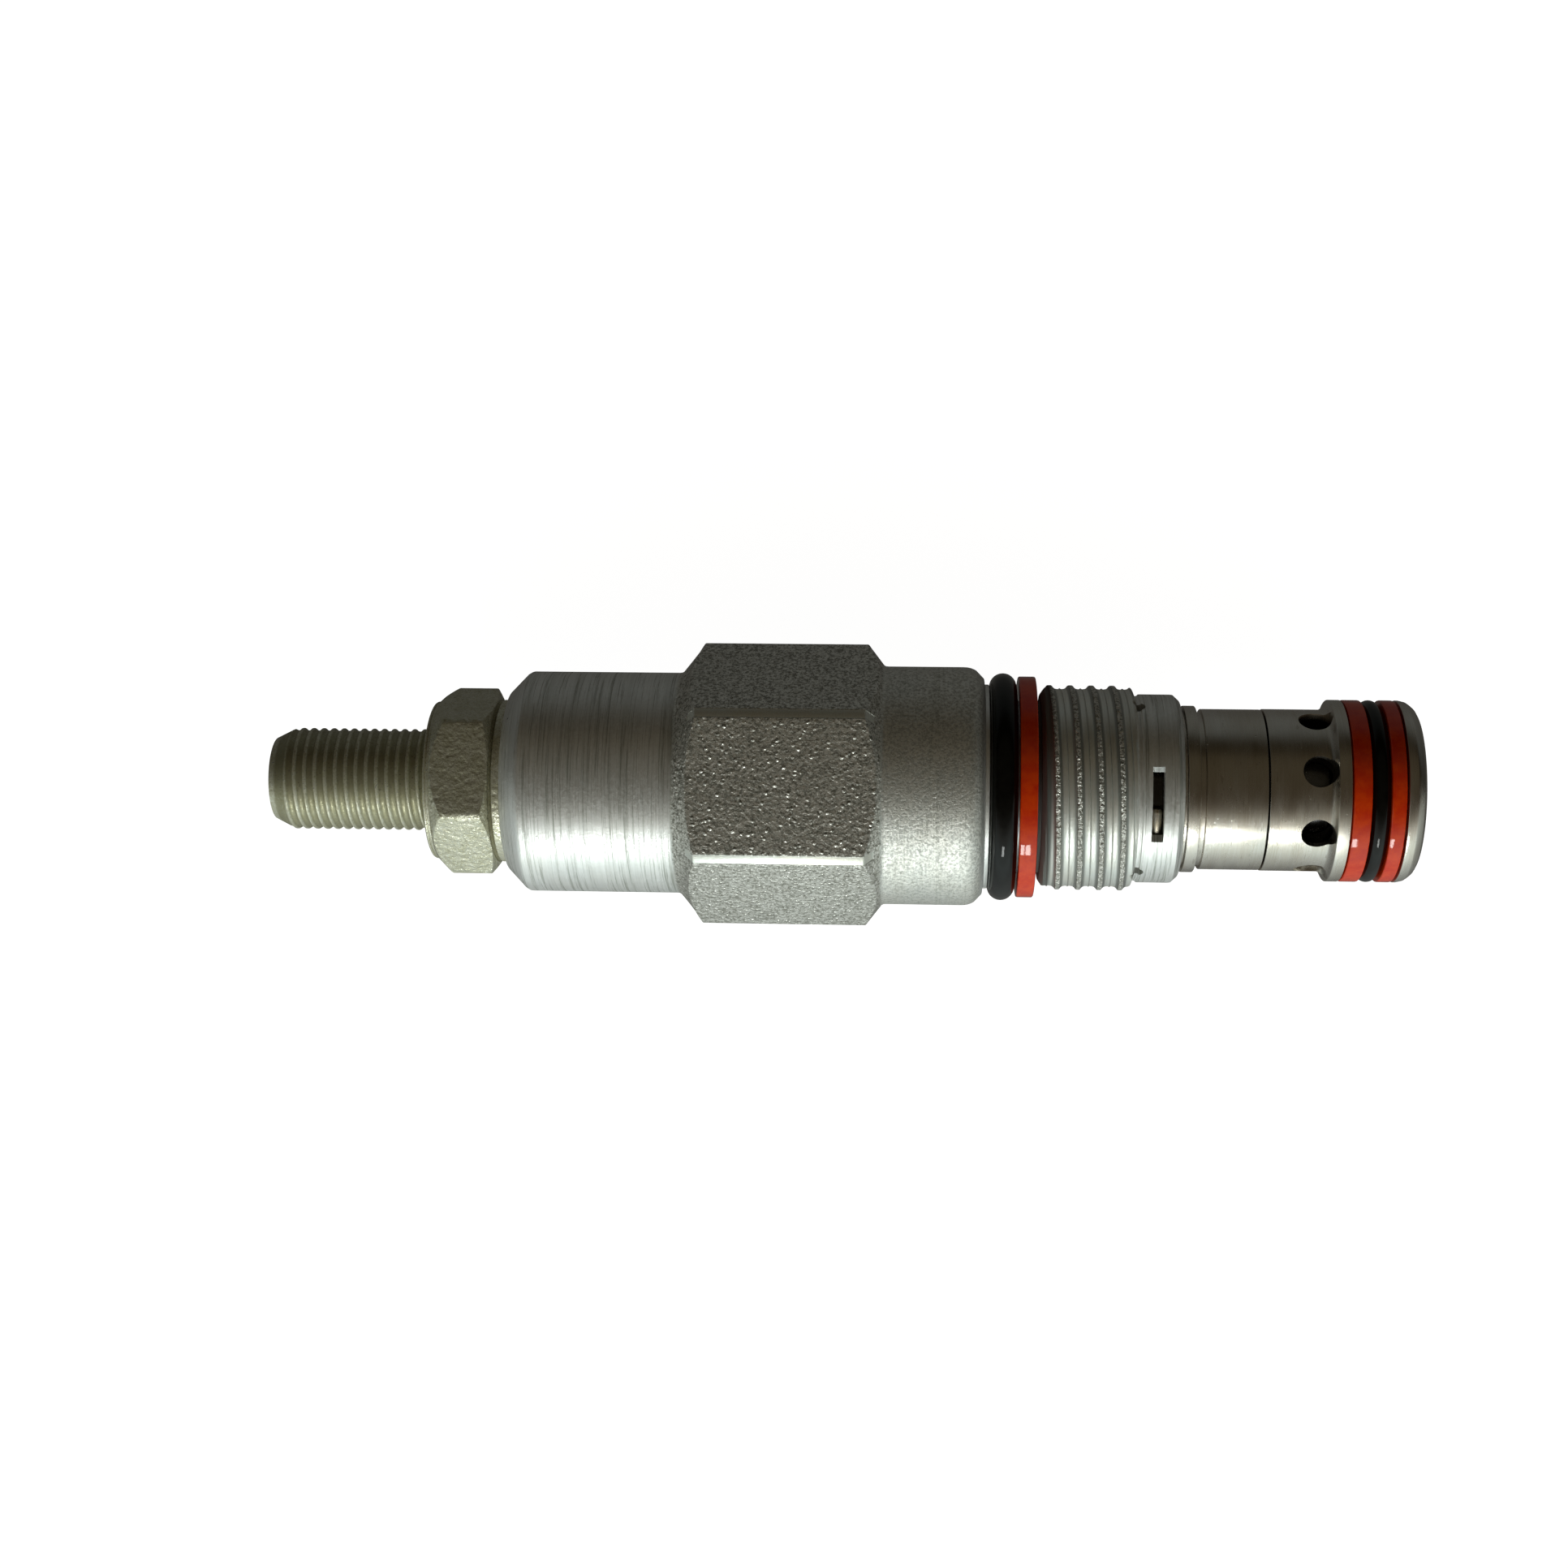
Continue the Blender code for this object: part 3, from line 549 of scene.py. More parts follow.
def sleeve_finish():
    """Bare steel, finely turned, darkened inside its bore and cross holes as painted shade."""
    look = Finish("satin_steel")
    tone = look.noise(0.5, 4.0, (1.0, 0.3, 0.3))
    colour = look.colours(look.span(tone, 0.35, 0.7), (0.60, 0.54, 0.46), (0.68, 0.64, 0.58))
    grain = look.noise(9.0, 6.0, TURNED, 0.8)
    colour = look.colours(look.span(grain, 0.35, 0.7, 0.0, 0.4), colour, (0.84, 0.82, 0.78))
    nicks = look.span(look.cells(0.9), 0.0, 0.09, 1.0, 0.0)
    scuffs = look.span(look.noise(1.1, 3.0, (2.4, 0.5, 0.5)), 0.64, 0.70)
    colour = look.colours(look.math("MULTIPLY", nicks, 0.5), colour, (0.86, 0.86, 0.84))
    colour = look.colours(look.math("MULTIPLY", scuffs, 0.4), colour, (0.38, 0.34, 0.28))
    # Painted shade: near black inside the bore and the cross holes, except at the nose end.
    painted_inner_shade = look.math("MULTIPLY", look.span(look.radius(), 7.27, 7.1), look.span(look.axis("X"), 53.6, 53.2))
    colour = look.colours(look.math("MULTIPLY", painted_inner_shade, 0.92), colour, (0.02, 0.018, 0.015))
    rough = look.span(look.noise(0.9, 3.0, (1.0, 0.25, 0.25)), 0.3, 0.7, 0.22, 0.32)
    height = look.math("SUBTRACT", grain, look.math("MULTIPLY", nicks, 1.2))
    normal = look.relief(height, 0.02, 0.6)
    return look.set(Base_Color=colour, Metallic=1.0, Roughness=rough, Normal=normal)


def ground_steel_finish():
    """Hardened and ground steel inside the valve, darkened to near black as painted shade."""
    look = Finish("ground_steel_painted_shade")
    tone = look.noise(0.7, 3.0)
    # Painted shade: the steel's colour is kept near black, as for the shade inside the valve.
    colour = look.colours(look.span(tone, 0.35, 0.7), (0.11, 0.11, 0.115), (0.17, 0.17, 0.175))
    rough = look.span(look.noise(2.0, 3.0), 0.3, 0.7, 0.20, 0.30)
    normal = look.relief(look.noise(18.0, 4.0, TURNED, 0.7), 0.006, 0.5)
    return look.set(Base_Color=colour, Metallic=1.0, Roughness=rough, Normal=normal)


def spring_wire_finish():
    """Drawn wire with a faint brassy tint."""
    look = Finish("spring_wire")
    tone = look.noise(1.4, 3.0)
    colour = look.colours(look.span(tone, 0.35, 0.65), (0.66, 0.58, 0.46), (0.56, 0.52, 0.46))
    rough = look.span(look.noise(3.0, 3.0), 0.3, 0.7, 0.18, 0.28)
    normal = look.relief(look.noise(9.0, 4.0), 0.008, 0.5)
    return look.set(Base_Color=colour, Metallic=1.0, Roughness=rough, Normal=normal)


def rubber_finish():
    """Black nitrile rubber, glossy with oil, with a fine moulded waviness."""
    look = Finish("seal_rubber")
    tone = look.noise(1.2, 3.0)
    colour = look.colours(look.span(tone, 0.3, 0.7), (0.002, 0.002, 0.002), (0.005, 0.005, 0.004))
    rough = look.span(look.noise(1.7, 3.0), 0.35, 0.65, 0.03, 0.08)
    waves = look.noise(1.5, 4.0, (1.2, 0.6, 0.6))
    normal = look.relief(waves, 0.03, 0.5)
    return look.set(Base_Color=colour, Roughness=rough, Normal=normal, Specular_IOR_Level=0.28)


def red_plastic_finish():
    """Red nylon backup ring, wet with oil."""
    look = Finish("backup_ring_nylon")
    tone = look.noise(0.9, 3.0)
    colour = look.colours(look.span(tone, 0.3, 0.7), (0.84, 0.034, 0.0007), (0.97, 0.066, 0.0014))
    rough = look.span(look.noise(1.9, 3.0), 0.35, 0.65, 0.02, 0.06)
    normal = look.relief(look.noise(2.4, 4.0, (1.6, 0.5, 0.5)), 0.01, 0.3)
    return look.set(Base_Color=colour, Roughness=rough, Normal=normal, Specular_IOR_Level=0.5)


def screen_finish():
    """Fine stainless wire cloth."""
    look = Finish("wire_cloth")
    tone = look.noise(2.2, 3.0)
    colour = look.colours(look.span(tone, 0.35, 0.65), (0.62, 0.60, 0.54), (0.74, 0.73, 0.70))
    rough = look.span(look.noise(4.0, 2.0), 0.3, 0.7, 0.22, 0.36)
    normal = look.relief(look.noise(20.0, 3.0), 0.004, 0.5)
    return look.set(Base_Color=colour, Metallic=1.0, Roughness=rough, Normal=normal)


FINISHES = {
    "zinc_plated_body": zinc_body_finish(),
    "yellow_zinc": yellow_zinc_finish(),
    "machined_sleeve_steel": sleeve_finish(),
    "hardened_steel": ground_steel_finish(),
    "spring_steel": spring_wire_finish(),
    "seal_rubber": rubber_finish(),
    "backup_ring_plastic": red_plastic_finish(),
    "screen_mesh": screen_finish(),
}


def stand_for(piece, node):
    """The piece is shown instead of the CAD node, in its material slot's finish."""
    slot = next(row["material_slot"] for row in frame["record"]["subparts"] if row["node"] == node)
    piece.data.materials.clear()
    piece.data.materials.append(FINISHES[slot])
    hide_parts(node)


def settle(piece, node):
    """The piece stands for the CAD node and moves with its body."""
    stand_for(piece, node)
    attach(piece, frame["nodes"][node]["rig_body"])


# ---- valve body -----------------------------------------------------------------------------------------

# Where each chamfer of the hexagon meets the middle of a flat, and its slope.
NEAR_CHAMFER = (-13.75, 0.525)
FAR_CHAMFER = (4.05, -0.7)
EDGE = 0.09
EDGE_MIDDLE_X = 0.02
EDGE_MIDDLE_R = 0.025
BODY_THREAD_X = (19.4, 28.4)
BODY_THREAD_ENDS = (8.95, 8.85)
BODY_THREAD_RISE = 1.5
BODY_THREAD_FALL = 2.5
BODY_THREAD_PHASE = 18.795
BODY_PITCH = 2.0
# Offset along one pitch, and radius there.
BODY_PROFILE = (
    (0.0, 9.85),
    (0.14, 9.85),
    (0.20, 9.82),
    (0.32, 9.67),
    (0.46, 9.55),
    (0.62, 9.50),
    (0.80, 9.48),
    (0.92, 9.49),
    (0.97, 9.54),
    (1.0, 9.56),
    (1.03, 9.54),
    (1.08, 9.49),
    (1.20, 9.48),
    (1.38, 9.50),
    (1.54, 9.55),
    (1.68, 9.67),
    (1.80, 9.82),
    (1.87, 9.85),
)
DRAIN_X = 28.55
DRAIN_R = 0.625
DRAIN_SIDES = 24
DRAIN_ANGLES = (60.0, 180.0, 300.0)
SLOT_X = (29.57, 30.68)
SLOT_ANGLE = math.radians(-9.0)
SLOT_CUTTER_R = 4.74
SLOT_CUTTER_CENTRE_R = 11.44
SKIRT_R = 9.05

# A run's ends are there only to show eased() where the outline goes on. This leaves out what becomes of
# them, which is its first four points and its last five.
WITHOUT_ENDS = slice(4, -5)


def on_chamfer(radius, x_at_flat, slope, across_flats=HEX_ACROSS_FLATS):
    """x where a hexagon's chamfer has that radius. x_at_flat is where it meets the middle of a flat."""
    return x_at_flat + (radius - across_flats / 2.0) * slope


def body_thread_limit(x):
    """Radius that the thread can't pass at x, so that it runs in and out over a cone."""
    rising = BODY_THREAD_ENDS[0] + (x - BODY_THREAD_X[0]) * BODY_THREAD_RISE
    falling = BODY_THREAD_ENDS[1] + (BODY_THREAD_X[1] - x) * BODY_THREAD_FALL
    return np.minimum(rising, falling)


def valve_body():
    angles = angles_round(COLUMNS, hex_edges(HEX_ACROSS_FLATS, HEX_CORNER_R))
    outer = hex_radius(angles, HEX_ACROSS_FLATS, HEX_CORNER_R)
    barrel = eased(
        [
            (-24.0, 6.5), (-24.0, 5.05), (-31.3, 5.05), (-31.65, 5.4),
            (-31.65, 8.75), (-29.95, 10.5), (-29.6, 10.7), (-20.0, 10.7),
        ],
        0.12,
    )[WITHOUT_ENDS]
    barrel.append((-20.12, 10.7))
    near = [(-15.35, 10.7), (-15.1, 10.73), (-14.9, 10.84)]
    near += [(on_chamfer(outer - drop, *NEAR_CHAMFER), outer - drop) for drop in (0.5, EDGE)]
    near_x = on_chamfer(outer, *NEAR_CHAMFER)
    far_x = on_chamfer(outer, *FAR_CHAMFER)
    flats = [
        (near_x + EDGE_MIDDLE_X, outer - EDGE_MIDDLE_R),
        (near_x + EDGE, outer),
        (far_x - EDGE, outer),
        (far_x - EDGE_MIDDLE_X, outer - EDGE_MIDDLE_R),
    ]
    far = [(on_chamfer(outer - drop, *FAR_CHAMFER), outer - drop) for drop in (EDGE, 0.3)]
    shoulder = [
        (4.45, 11.6), (4.62, 11.52), (4.85, 11.5), (12.1, 11.5),
        (12.45, 11.48), (12.8, 11.41), (13.1, 11.29),
    ]
    thread_start = (BODY_THREAD_X[0], BODY_THREAD_ENDS[0])
    gland = eased(
        [
            (13.1, 11.29), (13.32, 11.16), (14.05, 10.4), (14.1, 9.85),
            (14.5, 9.85), (14.5, 8.25), (19.4, 8.25), thread_start,
        ],
        0.07,
    )[WITHOUT_ENDS]
    before_thread = rings(barrel + near + flats + far + shoulder + gland + [thread_start], angles)
    helix = thread(
        BODY_THREAD_X,
        BODY_THREAD_ENDS,
        BODY_PITCH,
        BODY_THREAD_PHASE,
        BODY_PROFILE,
        body_thread_limit,
        angles,
    )
    thread_end = (BODY_THREAD_X[1], BODY_THREAD_ENDS[1])
    skirt = [thread_end, (28.7, 8.9), (28.8, 9.03), (28.9, SKIRT_R)]
    skirt += [(x, SKIRT_R) for x in np.arange(29.1, 31.9, 0.3)]
    skirt += eased(
        [
            (31.9, SKIRT_R), (32.02, SKIRT_R), (32.62, 8.5), (32.62, 7.6), (30.7, 7.6), (30.7, 8.3),
            (29.55, 8.3), (29.55, 7.6), (19.6, 7.6), (19.6, 7.0), (8.0, 7.0), (8.0, 6.5),
            (-24.0, 6.5), (-24.0, 5.05),
        ],
        0.06,
    )[WITHOUT_ENDS]
    skirt.append(barrel[0])
    after_thread = rings(skirt, angles)
    body = skin("valve_body_finished", [before_thread, helix, after_thread], angles)
    drill = [(6.0, DRAIN_R), (11.0, DRAIN_R)]
    cutters = []
    for angle in DRAIN_ANGLES:
        name = f"drain_{angle:.0f}"
        cutters.append(radial_cutter(name, DRAIN_X, math.radians(angle), drill, DRAIN_SIDES))
    cutters.append(disc_cutter("wire_slot", SLOT_X, SLOT_CUTTER_CENTRE_R, SLOT_ANGLE, SLOT_CUTTER_R))
    cut(body, cutters)
    settle(body, "valve_body")


# ---- seals, wire and springs ----------------------------------------------------------------------------

BODY_SEAL_INNER_R = 8.35
NOSE_SEAL_RADII = (7.0, 8.7)
O_RING_STEPS = 28
BAR_SIDES = 20
BAR_END_SHARE = 0.7
WIRE_X = 30.125
WIRE_CENTRE_R = 7.65
WIRE_R = 0.5
WIRE_ARC = math.radians(330.0)
WIRE_MIDDLE = math.radians(182.2)
WIRE_STEPS = 160
PILOT_SPRING_X = (-13.9, -0.7)
PILOT_SPRING_R = 4.5
PILOT_SPRING_TURNS = 5
PILOT_SPRING_WIRE_R = 0.8
PILOT_SPRING_SPLIT_X = -4.5
PILOT_SPRING_GAP = 0.1
MAIN_SPRING_X = (25.4, 41.0)
MAIN_SPRING_R = 4.1
MAIN_SPRING_TURNS = 8
MAIN_SPRING_WIRE_R = 0.5


def o_ring(node, start_x, inner_r, outer_r):
    section = (outer_r - inner_r) / 2.0
    outline = []
    for step in range(O_RING_STEPS + 1):
        angle = TURN * step / O_RING_STEPS
        x = start_x + section + section * math.cos(angle)
        outline.append((x, inner_r + section + section * math.sin(angle)))
    angles = angles_round(COLUMNS)
    settle(skin(node + "_finished", [rings(outline, angles)], angles), node)


def flat_ring(node, x_range, r_range, size=0.18, columns=COLUMNS):
    outline = [
        (x_range[0], r_range[0]),
        (x_range[0], r_range[1]),
        (x_range[1], r_range[1]),
        (x_range[1], r_range[0]),
    ]
    settle(turned(node + "_finished", outline, size, columns), node)


def round_bar(name, points, radius):
    return object_from(name, *tube(points, radius, BAR_SIDES, BAR_END_SHARE))


def seals():
    o_ring("body_oring", 14.55, BODY_SEAL_INNER_R, 10.95)
    flat_ring("body_backup_ring", (17.3, 18.95), (BODY_SEAL_INNER_R, 10.65))
    flat_ring("nose_backup_ring_inner", (48.05, 49.75), NOSE_SEAL_RADII)
    o_ring("nose_oring", 49.8, *NOSE_SEAL_RADII)
    flat_ring("nose_backup_ring_outer", (51.55, 52.9), NOSE_SEAL_RADII)


def spring(name, node, points, wire_r):
    """A stretch of spring that stands for the CAD node, with its placing baked into its mesh."""
    piece = round_bar(name, points, wire_r)
    stand_for(piece, node)
    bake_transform(piece)


def pilot_spring():
    """Two parts, since the piston pushes one end and the poppet the other. They nearly meet in between."""
    points = coil_points(PILOT_SPRING_X, PILOT_SPRING_R, PILOT_SPRING_TURNS)
    split = next(index for index, point in enumerate(points) if point[0] > PILOT_SPRING_SPLIT_X)
    first_turns = points[: split + 1]
    restart = tuple(a + PILOT_SPRING_GAP * (b - a) for a, b in zip(points[split], points[split + 1]))
    last_turns = [restart, *points[split + 1 :]]
    wire_r = PILOT_SPRING_WIRE_R
    spring("pilot_spring_finished", "pilot_spring", first_turns, wire_r)
    spring("pilot_spring_last_turns", "pilot_spring", last_turns, wire_r)


def main_spring():
    points = coil_points(MAIN_SPRING_X, MAIN_SPRING_R, MAIN_SPRING_TURNS)
    spring("main_spring_finished", "main_spring", points, MAIN_SPRING_WIRE_R)


def retaining_wire():
    points = []
    for step in range(WIRE_STEPS + 1):
        angle = WIRE_MIDDLE + WIRE_ARC * (step / WIRE_STEPS - 0.5)
        points.append((WIRE_X, WIRE_CENTRE_R * math.sin(angle), WIRE_CENTRE_R * math.cos(angle)))
    settle(round_bar("retaining_wire_finished", points, WIRE_R), "retaining_wire")


# ---- adjusting end --------------------------------------------------------------------------------------

SCREW_R = 4.95
SCREW_PITCH = 1.0
SCREW_PHASE = -50.2
SCREW_PROFILE = (
    (0.0, 4.95),
    (0.07, 4.95),
    (0.12, 4.92),
    (0.20, 4.83),
    (0.30, 4.76),
    (0.42, 4.72),
    (0.54, 4.71),
    (0.66, 4.73),
    (0.78, 4.78),
    (0.88, 4.88),
    (0.94, 4.94),
)
SCREW_THREAD_X = (-HALF_LENGTH, -23.3)
SCREW_THREAD_ENDS = (4.0, 4.3)
SCREW_BEVEL = 0.5
SCREW_RUN_OUT = 0.6
SOCKET_ACROSS_FLATS = 5.0
SOCKET_CORNER_R = 2.86
SOCKET_EDGE = math.radians(0.8)
SOCKET_MOUTH_R = 3.1
SOCKET_MOUTH_SLOPE = 0.6
NUT_ACROSS_FLATS = 16.0
NUT_CORNER_R = 9.12
NUT_FIRST_FLAT = math.radians(9.2)
NUT_BOSS = (
    (-39.13, 5.55), (-39.13, 7.5), (-39.08, 7.60), (-38.98, 7.66),
    (-38.88, 7.66), (-38.84, 7.58), (-38.79, 7.58),
    (-38.75, 7.72), (-38.64, 7.78), (-38.56, 7.78), (-38.52, 7.72), (-38.48, 7.74),
)
NUT_NEAR_CHAMFER = (-38.40, 1.0)
NUT_FAR_CHAMFER = (-32.9, -0.48)
NUT_FACE_X = -32.57
NUT_BORE_R = 5.12
NUT_BORE_CHAMFER = 0.45


def screw_limit(x):
    """Radius that the thread can't pass at x: the bevel at its end, and the run-out by the collar."""
    bevel = SCREW_THREAD_ENDS[0] + (x - SCREW_THREAD_X[0]) * SCREW_BEVEL
    run_out = SCREW_THREAD_ENDS[1] + (SCREW_THREAD_X[1] - x) * SCREW_RUN_OUT
    return np.minimum(np.minimum(bevel, run_out), SCREW_R)


def adjusting_screw():
    edges = hex_edges(SOCKET_ACROSS_FLATS, SOCKET_CORNER_R, edge=SOCKET_EDGE)
    angles = angles_round(FINE_COLUMNS, edges)
    socket = hex_radius(angles, SOCKET_ACROSS_FLATS, SOCKET_CORNER_R)
    mouth_x = -HALF_LENGTH + (SOCKET_MOUTH_R - socket) * SOCKET_MOUTH_SLOPE
    face = rings(
        [
            (-49.2, 0.0),
            (-49.9, socket * 0.97),
            (-50.0, socket),
            (mouth_x + 0.05, socket),
            (mouth_x - 0.03, socket + 0.06),
            (-HALF_LENGTH + 0.03, SOCKET_MOUTH_R - 0.04),
            (-HALF_LENGTH, SOCKET_MOUTH_R + 0.04),
            (-HALF_LENGTH, 3.93),
            (-HALF_LENGTH, SCREW_THREAD_ENDS[0]),
        ],
        angles,
    )
    helix = thread(
        SCREW_THREAD_X,
        SCREW_THREAD_ENDS,
        SCREW_PITCH,
        SCREW_PHASE,
        SCREW_PROFILE,
        screw_limit,
        angles,
    )
    collar = rings(
        [
            (SCREW_THREAD_X[1], SCREW_THREAD_ENDS[1]),
            (-22.9, 4.35), (-22.9, 5.9), (-22.8, 6.0), (-21.8, 6.0), (-21.7, 5.9), (-21.7, 0.0),
        ],
        angles,
    )
    settle(skin("adjusting_screw_finished", [face, helix, collar], angles), "adjusting_screw")


def lock_nut():
    angles = angles_round(COLUMNS, hex_edges(NUT_ACROSS_FLATS, NUT_CORNER_R, NUT_FIRST_FLAT))
    outer = hex_radius(angles, NUT_ACROSS_FLATS, NUT_CORNER_R, NUT_FIRST_FLAT)

    def near_cone(radius):
        return on_chamfer(radius, *NUT_NEAR_CHAMFER, NUT_ACROSS_FLATS)

    def far_cone(radius):
        return on_chamfer(radius, *NUT_FAR_CHAMFER, NUT_ACROSS_FLATS)

    stations = list(NUT_BOSS)
    stations += [
        (near_cone(7.85), 7.85),
        (near_cone(outer - EDGE), outer - EDGE),
        (near_cone(outer) + 0.02, outer - 0.02),
        (near_cone(outer) + EDGE, outer),
        (far_cone(outer) - EDGE, outer),
        (far_cone(outer) - 0.01, outer - 0.02),
        (far_cone(outer - EDGE), outer - EDGE),
        (far_cone(7.4), 7.4),
        (NUT_FACE_X, 7.25),
        (NUT_FACE_X, 5.6),
        (NUT_FACE_X - NUT_BORE_CHAMFER, NUT_BORE_R),
        (NUT_BOSS[0][0] + NUT_BORE_CHAMFER, NUT_BORE_R),
        NUT_BOSS[0],
    ]
    settle(skin("lock_nut_finished", [rings(stations, angles)], angles), "lock_nut")


# ---- sleeve and main stage ------------------------------------------------------------------------------

CROSS_HOLE_X = 45.1
CROSS_HOLE_R = 1.45
CROSS_HOLE_MOUTH_R = CROSS_HOLE_R + 0.18
CROSS_HOLE_COUNT = 8
CROSS_HOLE_FIRST = math.radians(14.6)
PISTON_R = 5.42
PISTON_GROOVE_R = 5.17
PISTON_GROOVE_WIDTH = 0.6
PISTON_GROOVES_X = (35.5, 38.0, 40.5)
CLOTH_X = 45.3
CLOTH_R = 3.2
CLOTH_PITCH = 0.32
CLOTH_WIRE_R = 0.055
CLOTH_WIRE_SIDES = 6
CLOTH_SWING = 0.055
CLOTH_WELD = 0.0001


def sleeve_adapter():
    outline = [
        (19.8, 3.45), (19.8, 6.9), (20.3, 7.4), (29.55, 7.4), (29.55, 7.0), (30.7, 7.0), (30.7, 7.4),
        (33.0, 7.4), (33.0, 8.0), (34.15, 8.0), (34.15, 7.3), (34.7, 7.3), (34.7, 7.7), (40.4, 7.7),
        (40.4, 6.6), (31.3, 6.6), (31.3, 5.6), (24.6, 5.6), (24.6, 3.45),
    ]
    settle(turned("sleeve_adapter_finished", outline, 0.09), "sleeve_adapter")


def main_sleeve():
    outline = [(31.6, 5.5), (31.6, 6.5), (40.55, 6.5), (40.55, 7.75)]
    outline += [(x, 7.75) for x in np.arange(43.2, 46.05, 0.3)]
    outline += [
        (46.0, 7.75), (46.22, 7.84), (46.43, 8.05), (46.6, 8.35), (46.75, 8.7), (47.9, 8.7),
        (47.9, 6.9), (53.1, 6.9), (53.1, 8.7), (53.4, 8.7), (54.0, 8.56), (54.3, 8.35),
        (54.65, 8.05), (54.9, 7.6), (54.9, 5.4), (54.4, 4.9), (47.0, 4.9), (47.0, 5.5),
    ]
    sleeve = turned("main_sleeve_finished", outline, 0.08)
    drill = [
        (4.3, CROSS_HOLE_R),
        (7.5, CROSS_HOLE_R),
        (7.9, CROSS_HOLE_MOUTH_R),
        (10.0, CROSS_HOLE_MOUTH_R),
    ]
    cutters = []
    for hole in range(CROSS_HOLE_COUNT):
        angle = CROSS_HOLE_FIRST + hole * TURN / CROSS_HOLE_COUNT
        cutters.append(radial_cutter(f"cross_hole_{hole}", CROSS_HOLE_X, angle, drill))
    cut(sleeve, cutters)
    settle(sleeve, "main_sleeve")


def main_piston():
    outline = [(33.0, 4.7), (33.0, PISTON_R)]
    for groove_x in PISTON_GROOVES_X:
        groove_end_x = groove_x + PISTON_GROOVE_WIDTH
        outline += [
            (groove_x, PISTON_R),
            (groove_x, PISTON_GROOVE_R),
            (groove_end_x, PISTON_GROOVE_R),
            (groove_end_x, PISTON_R),
        ]
    outline += [
        (46.3, PISTON_R), (46.8, 5.12), (46.8, 3.4), (45.0, 3.4), (45.0, 1.7), (41.6, 1.7), (41.6, 4.7),
    ]
    settle(turned("main_piston_finished", outline, 0.06, FINE_COLUMNS), "main_piston")


def filter_screen():
    """Plain-woven wire cloth in a thin rim."""
    count = int(CLOTH_R / CLOTH_PITCH)
    points, faces = [], []
    for direction in (0, 1):
        for number in range(-count, count + 1):
            across = number * CLOTH_PITCH
            reach = math.sqrt(CLOTH_R**2 - across**2)
            steps = max(4, int(2 * reach / CLOTH_PITCH * 4))
            line = []
            for step in range(steps + 1):
                along = -reach + 2 * reach * step / steps
                side = 1 if (number + direction) % 2 else -1
                x = CLOTH_X + side * CLOTH_SWING * math.cos(math.pi * along / CLOTH_PITCH)
                line.append((x, along, across) if direction else (x, across, along))
            bar, bar_faces = tube(line, CLOTH_WIRE_R, CLOTH_WIRE_SIDES)
            start = len(points)
            points += bar
            faces += [tuple(corner + start for corner in face) for face in bar_faces]
    rim_outline = [(45.17, 3.1), (45.17, 3.3), (45.43, 3.3), (45.43, 3.1)]
    rim = turned("filter_screen_rim", rim_outline, 0.04, FINE_COLUMNS)
    cloth = object_from("filter_screen_finished", points, faces, weld=CLOTH_WELD)
    settle(cloth, "filter_screen")
    rim.data.materials.append(FINISHES["screen_mesh"])
    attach(rim, "piston")


def inner_nodes():
    """CAD nodes that stay as they are inside the valve get their finish."""
    for row in frame["record"]["subparts"]:
        node = frame["nodes"][row["node"]]
        if not node.hide_render:
            node.data.materials.clear()
            node.data.materials.append(FINISHES[row["material_slot"]])


valve_body()
seals()
retaining_wire()
pilot_spring()
main_spring()
adjusting_screw()
lock_nut()
flat_ring("lock_washer", (-32.53, -31.75), (5.3, 7.9), 0.1)
sleeve_adapter()
main_sleeve()
main_piston()
filter_screen()
flat_ring("screen_retaining_ring", (45.6, 46.4), (2.5, 3.3), 0.08, FINE_COLUMNS)
inner_nodes()


# ---- floor, light and camera ----------------------------------------------------------------------------

FLOOR_Z = -12.05
FLOOR_REACH = 1500.0
FLOOR_GLOW = 0.97
FLOOR_STEPS = 6


def floor():
    steps = FLOOR_STEPS
    spots = [-FLOOR_REACH + 2.0 * FLOOR_REACH * step / steps for step in range(steps + 1)]
    points = [(x * MM, y * MM, FLOOR_Z * MM) for y in spots for x in spots]
    faces = []
    for row in range(steps):
        for column in range(steps):
            first = row * (steps + 1) + column
            faces.append((first, first + 1, first + steps + 2, first + steps + 1))
    mesh = bpy.data.meshes.new("floor")
    mesh.from_pydata(points, [], faces)
    made = bpy.data.objects.new("floor", mesh)
    bpy.context.scene.collection.objects.link(made)
    look = Finish("white_table")
    tone = look.noise(0.05, 2.0)
    colour = look.colours(tone, (0.48, 0.48, 0.48), (0.52, 0.52, 0.52))
    look.set(Base_Color=colour, Roughness=0.9, Specular_IOR_Level=0.0)
    look.shader.inputs["Emission Color"].default_value = (1.0, 1.0, 1.0, 1.0)
    look.shader.inputs["Emission Strength"].default_value = FLOOR_GLOW
    mesh.materials.append(look.material)
    made.visible_glossy = False
    made.visible_diffuse = False


# Light from each angle round the valve's axis: degrees from straight up towards -Y, and its colour.
ROOM = (
    (-180, (0.07, 0.068, 0.062)),
    (-140, (0.07, 0.070, 0.064)),
    (-112, (0.095, 0.100, 0.094)),
    (-90, (0.080, 0.085, 0.080)),
    (-72, (0.020, 0.017, 0.011)),
    (-58, (0.018, 0.014, 0.008)),
    (-46, (0.054, 0.045, 0.029)),
    (-16, (0.054, 0.045, 0.029)),
    (10, (0.052, 0.042, 0.028)),
    (26, (0.092, 0.080, 0.062)),
    (40, (0.26, 0.25, 0.21)),
    (56, (0.72, 0.74, 0.68)),
    (72, (0.95, 1.07, 1.02)),
    (91, (0.93, 1.06, 1.02)),
    (113, (0.52, 0.57, 0.55)),
    (147, (0.21, 0.22, 0.21)),
    (180, (0.07, 0.068, 0.062)),
)
# The room's light falls to a share of itself between two sines of the angle towards the valve's ends.
SIDE_FADE = (0.55, 1.0)
SIDE_SHARE = 0.5
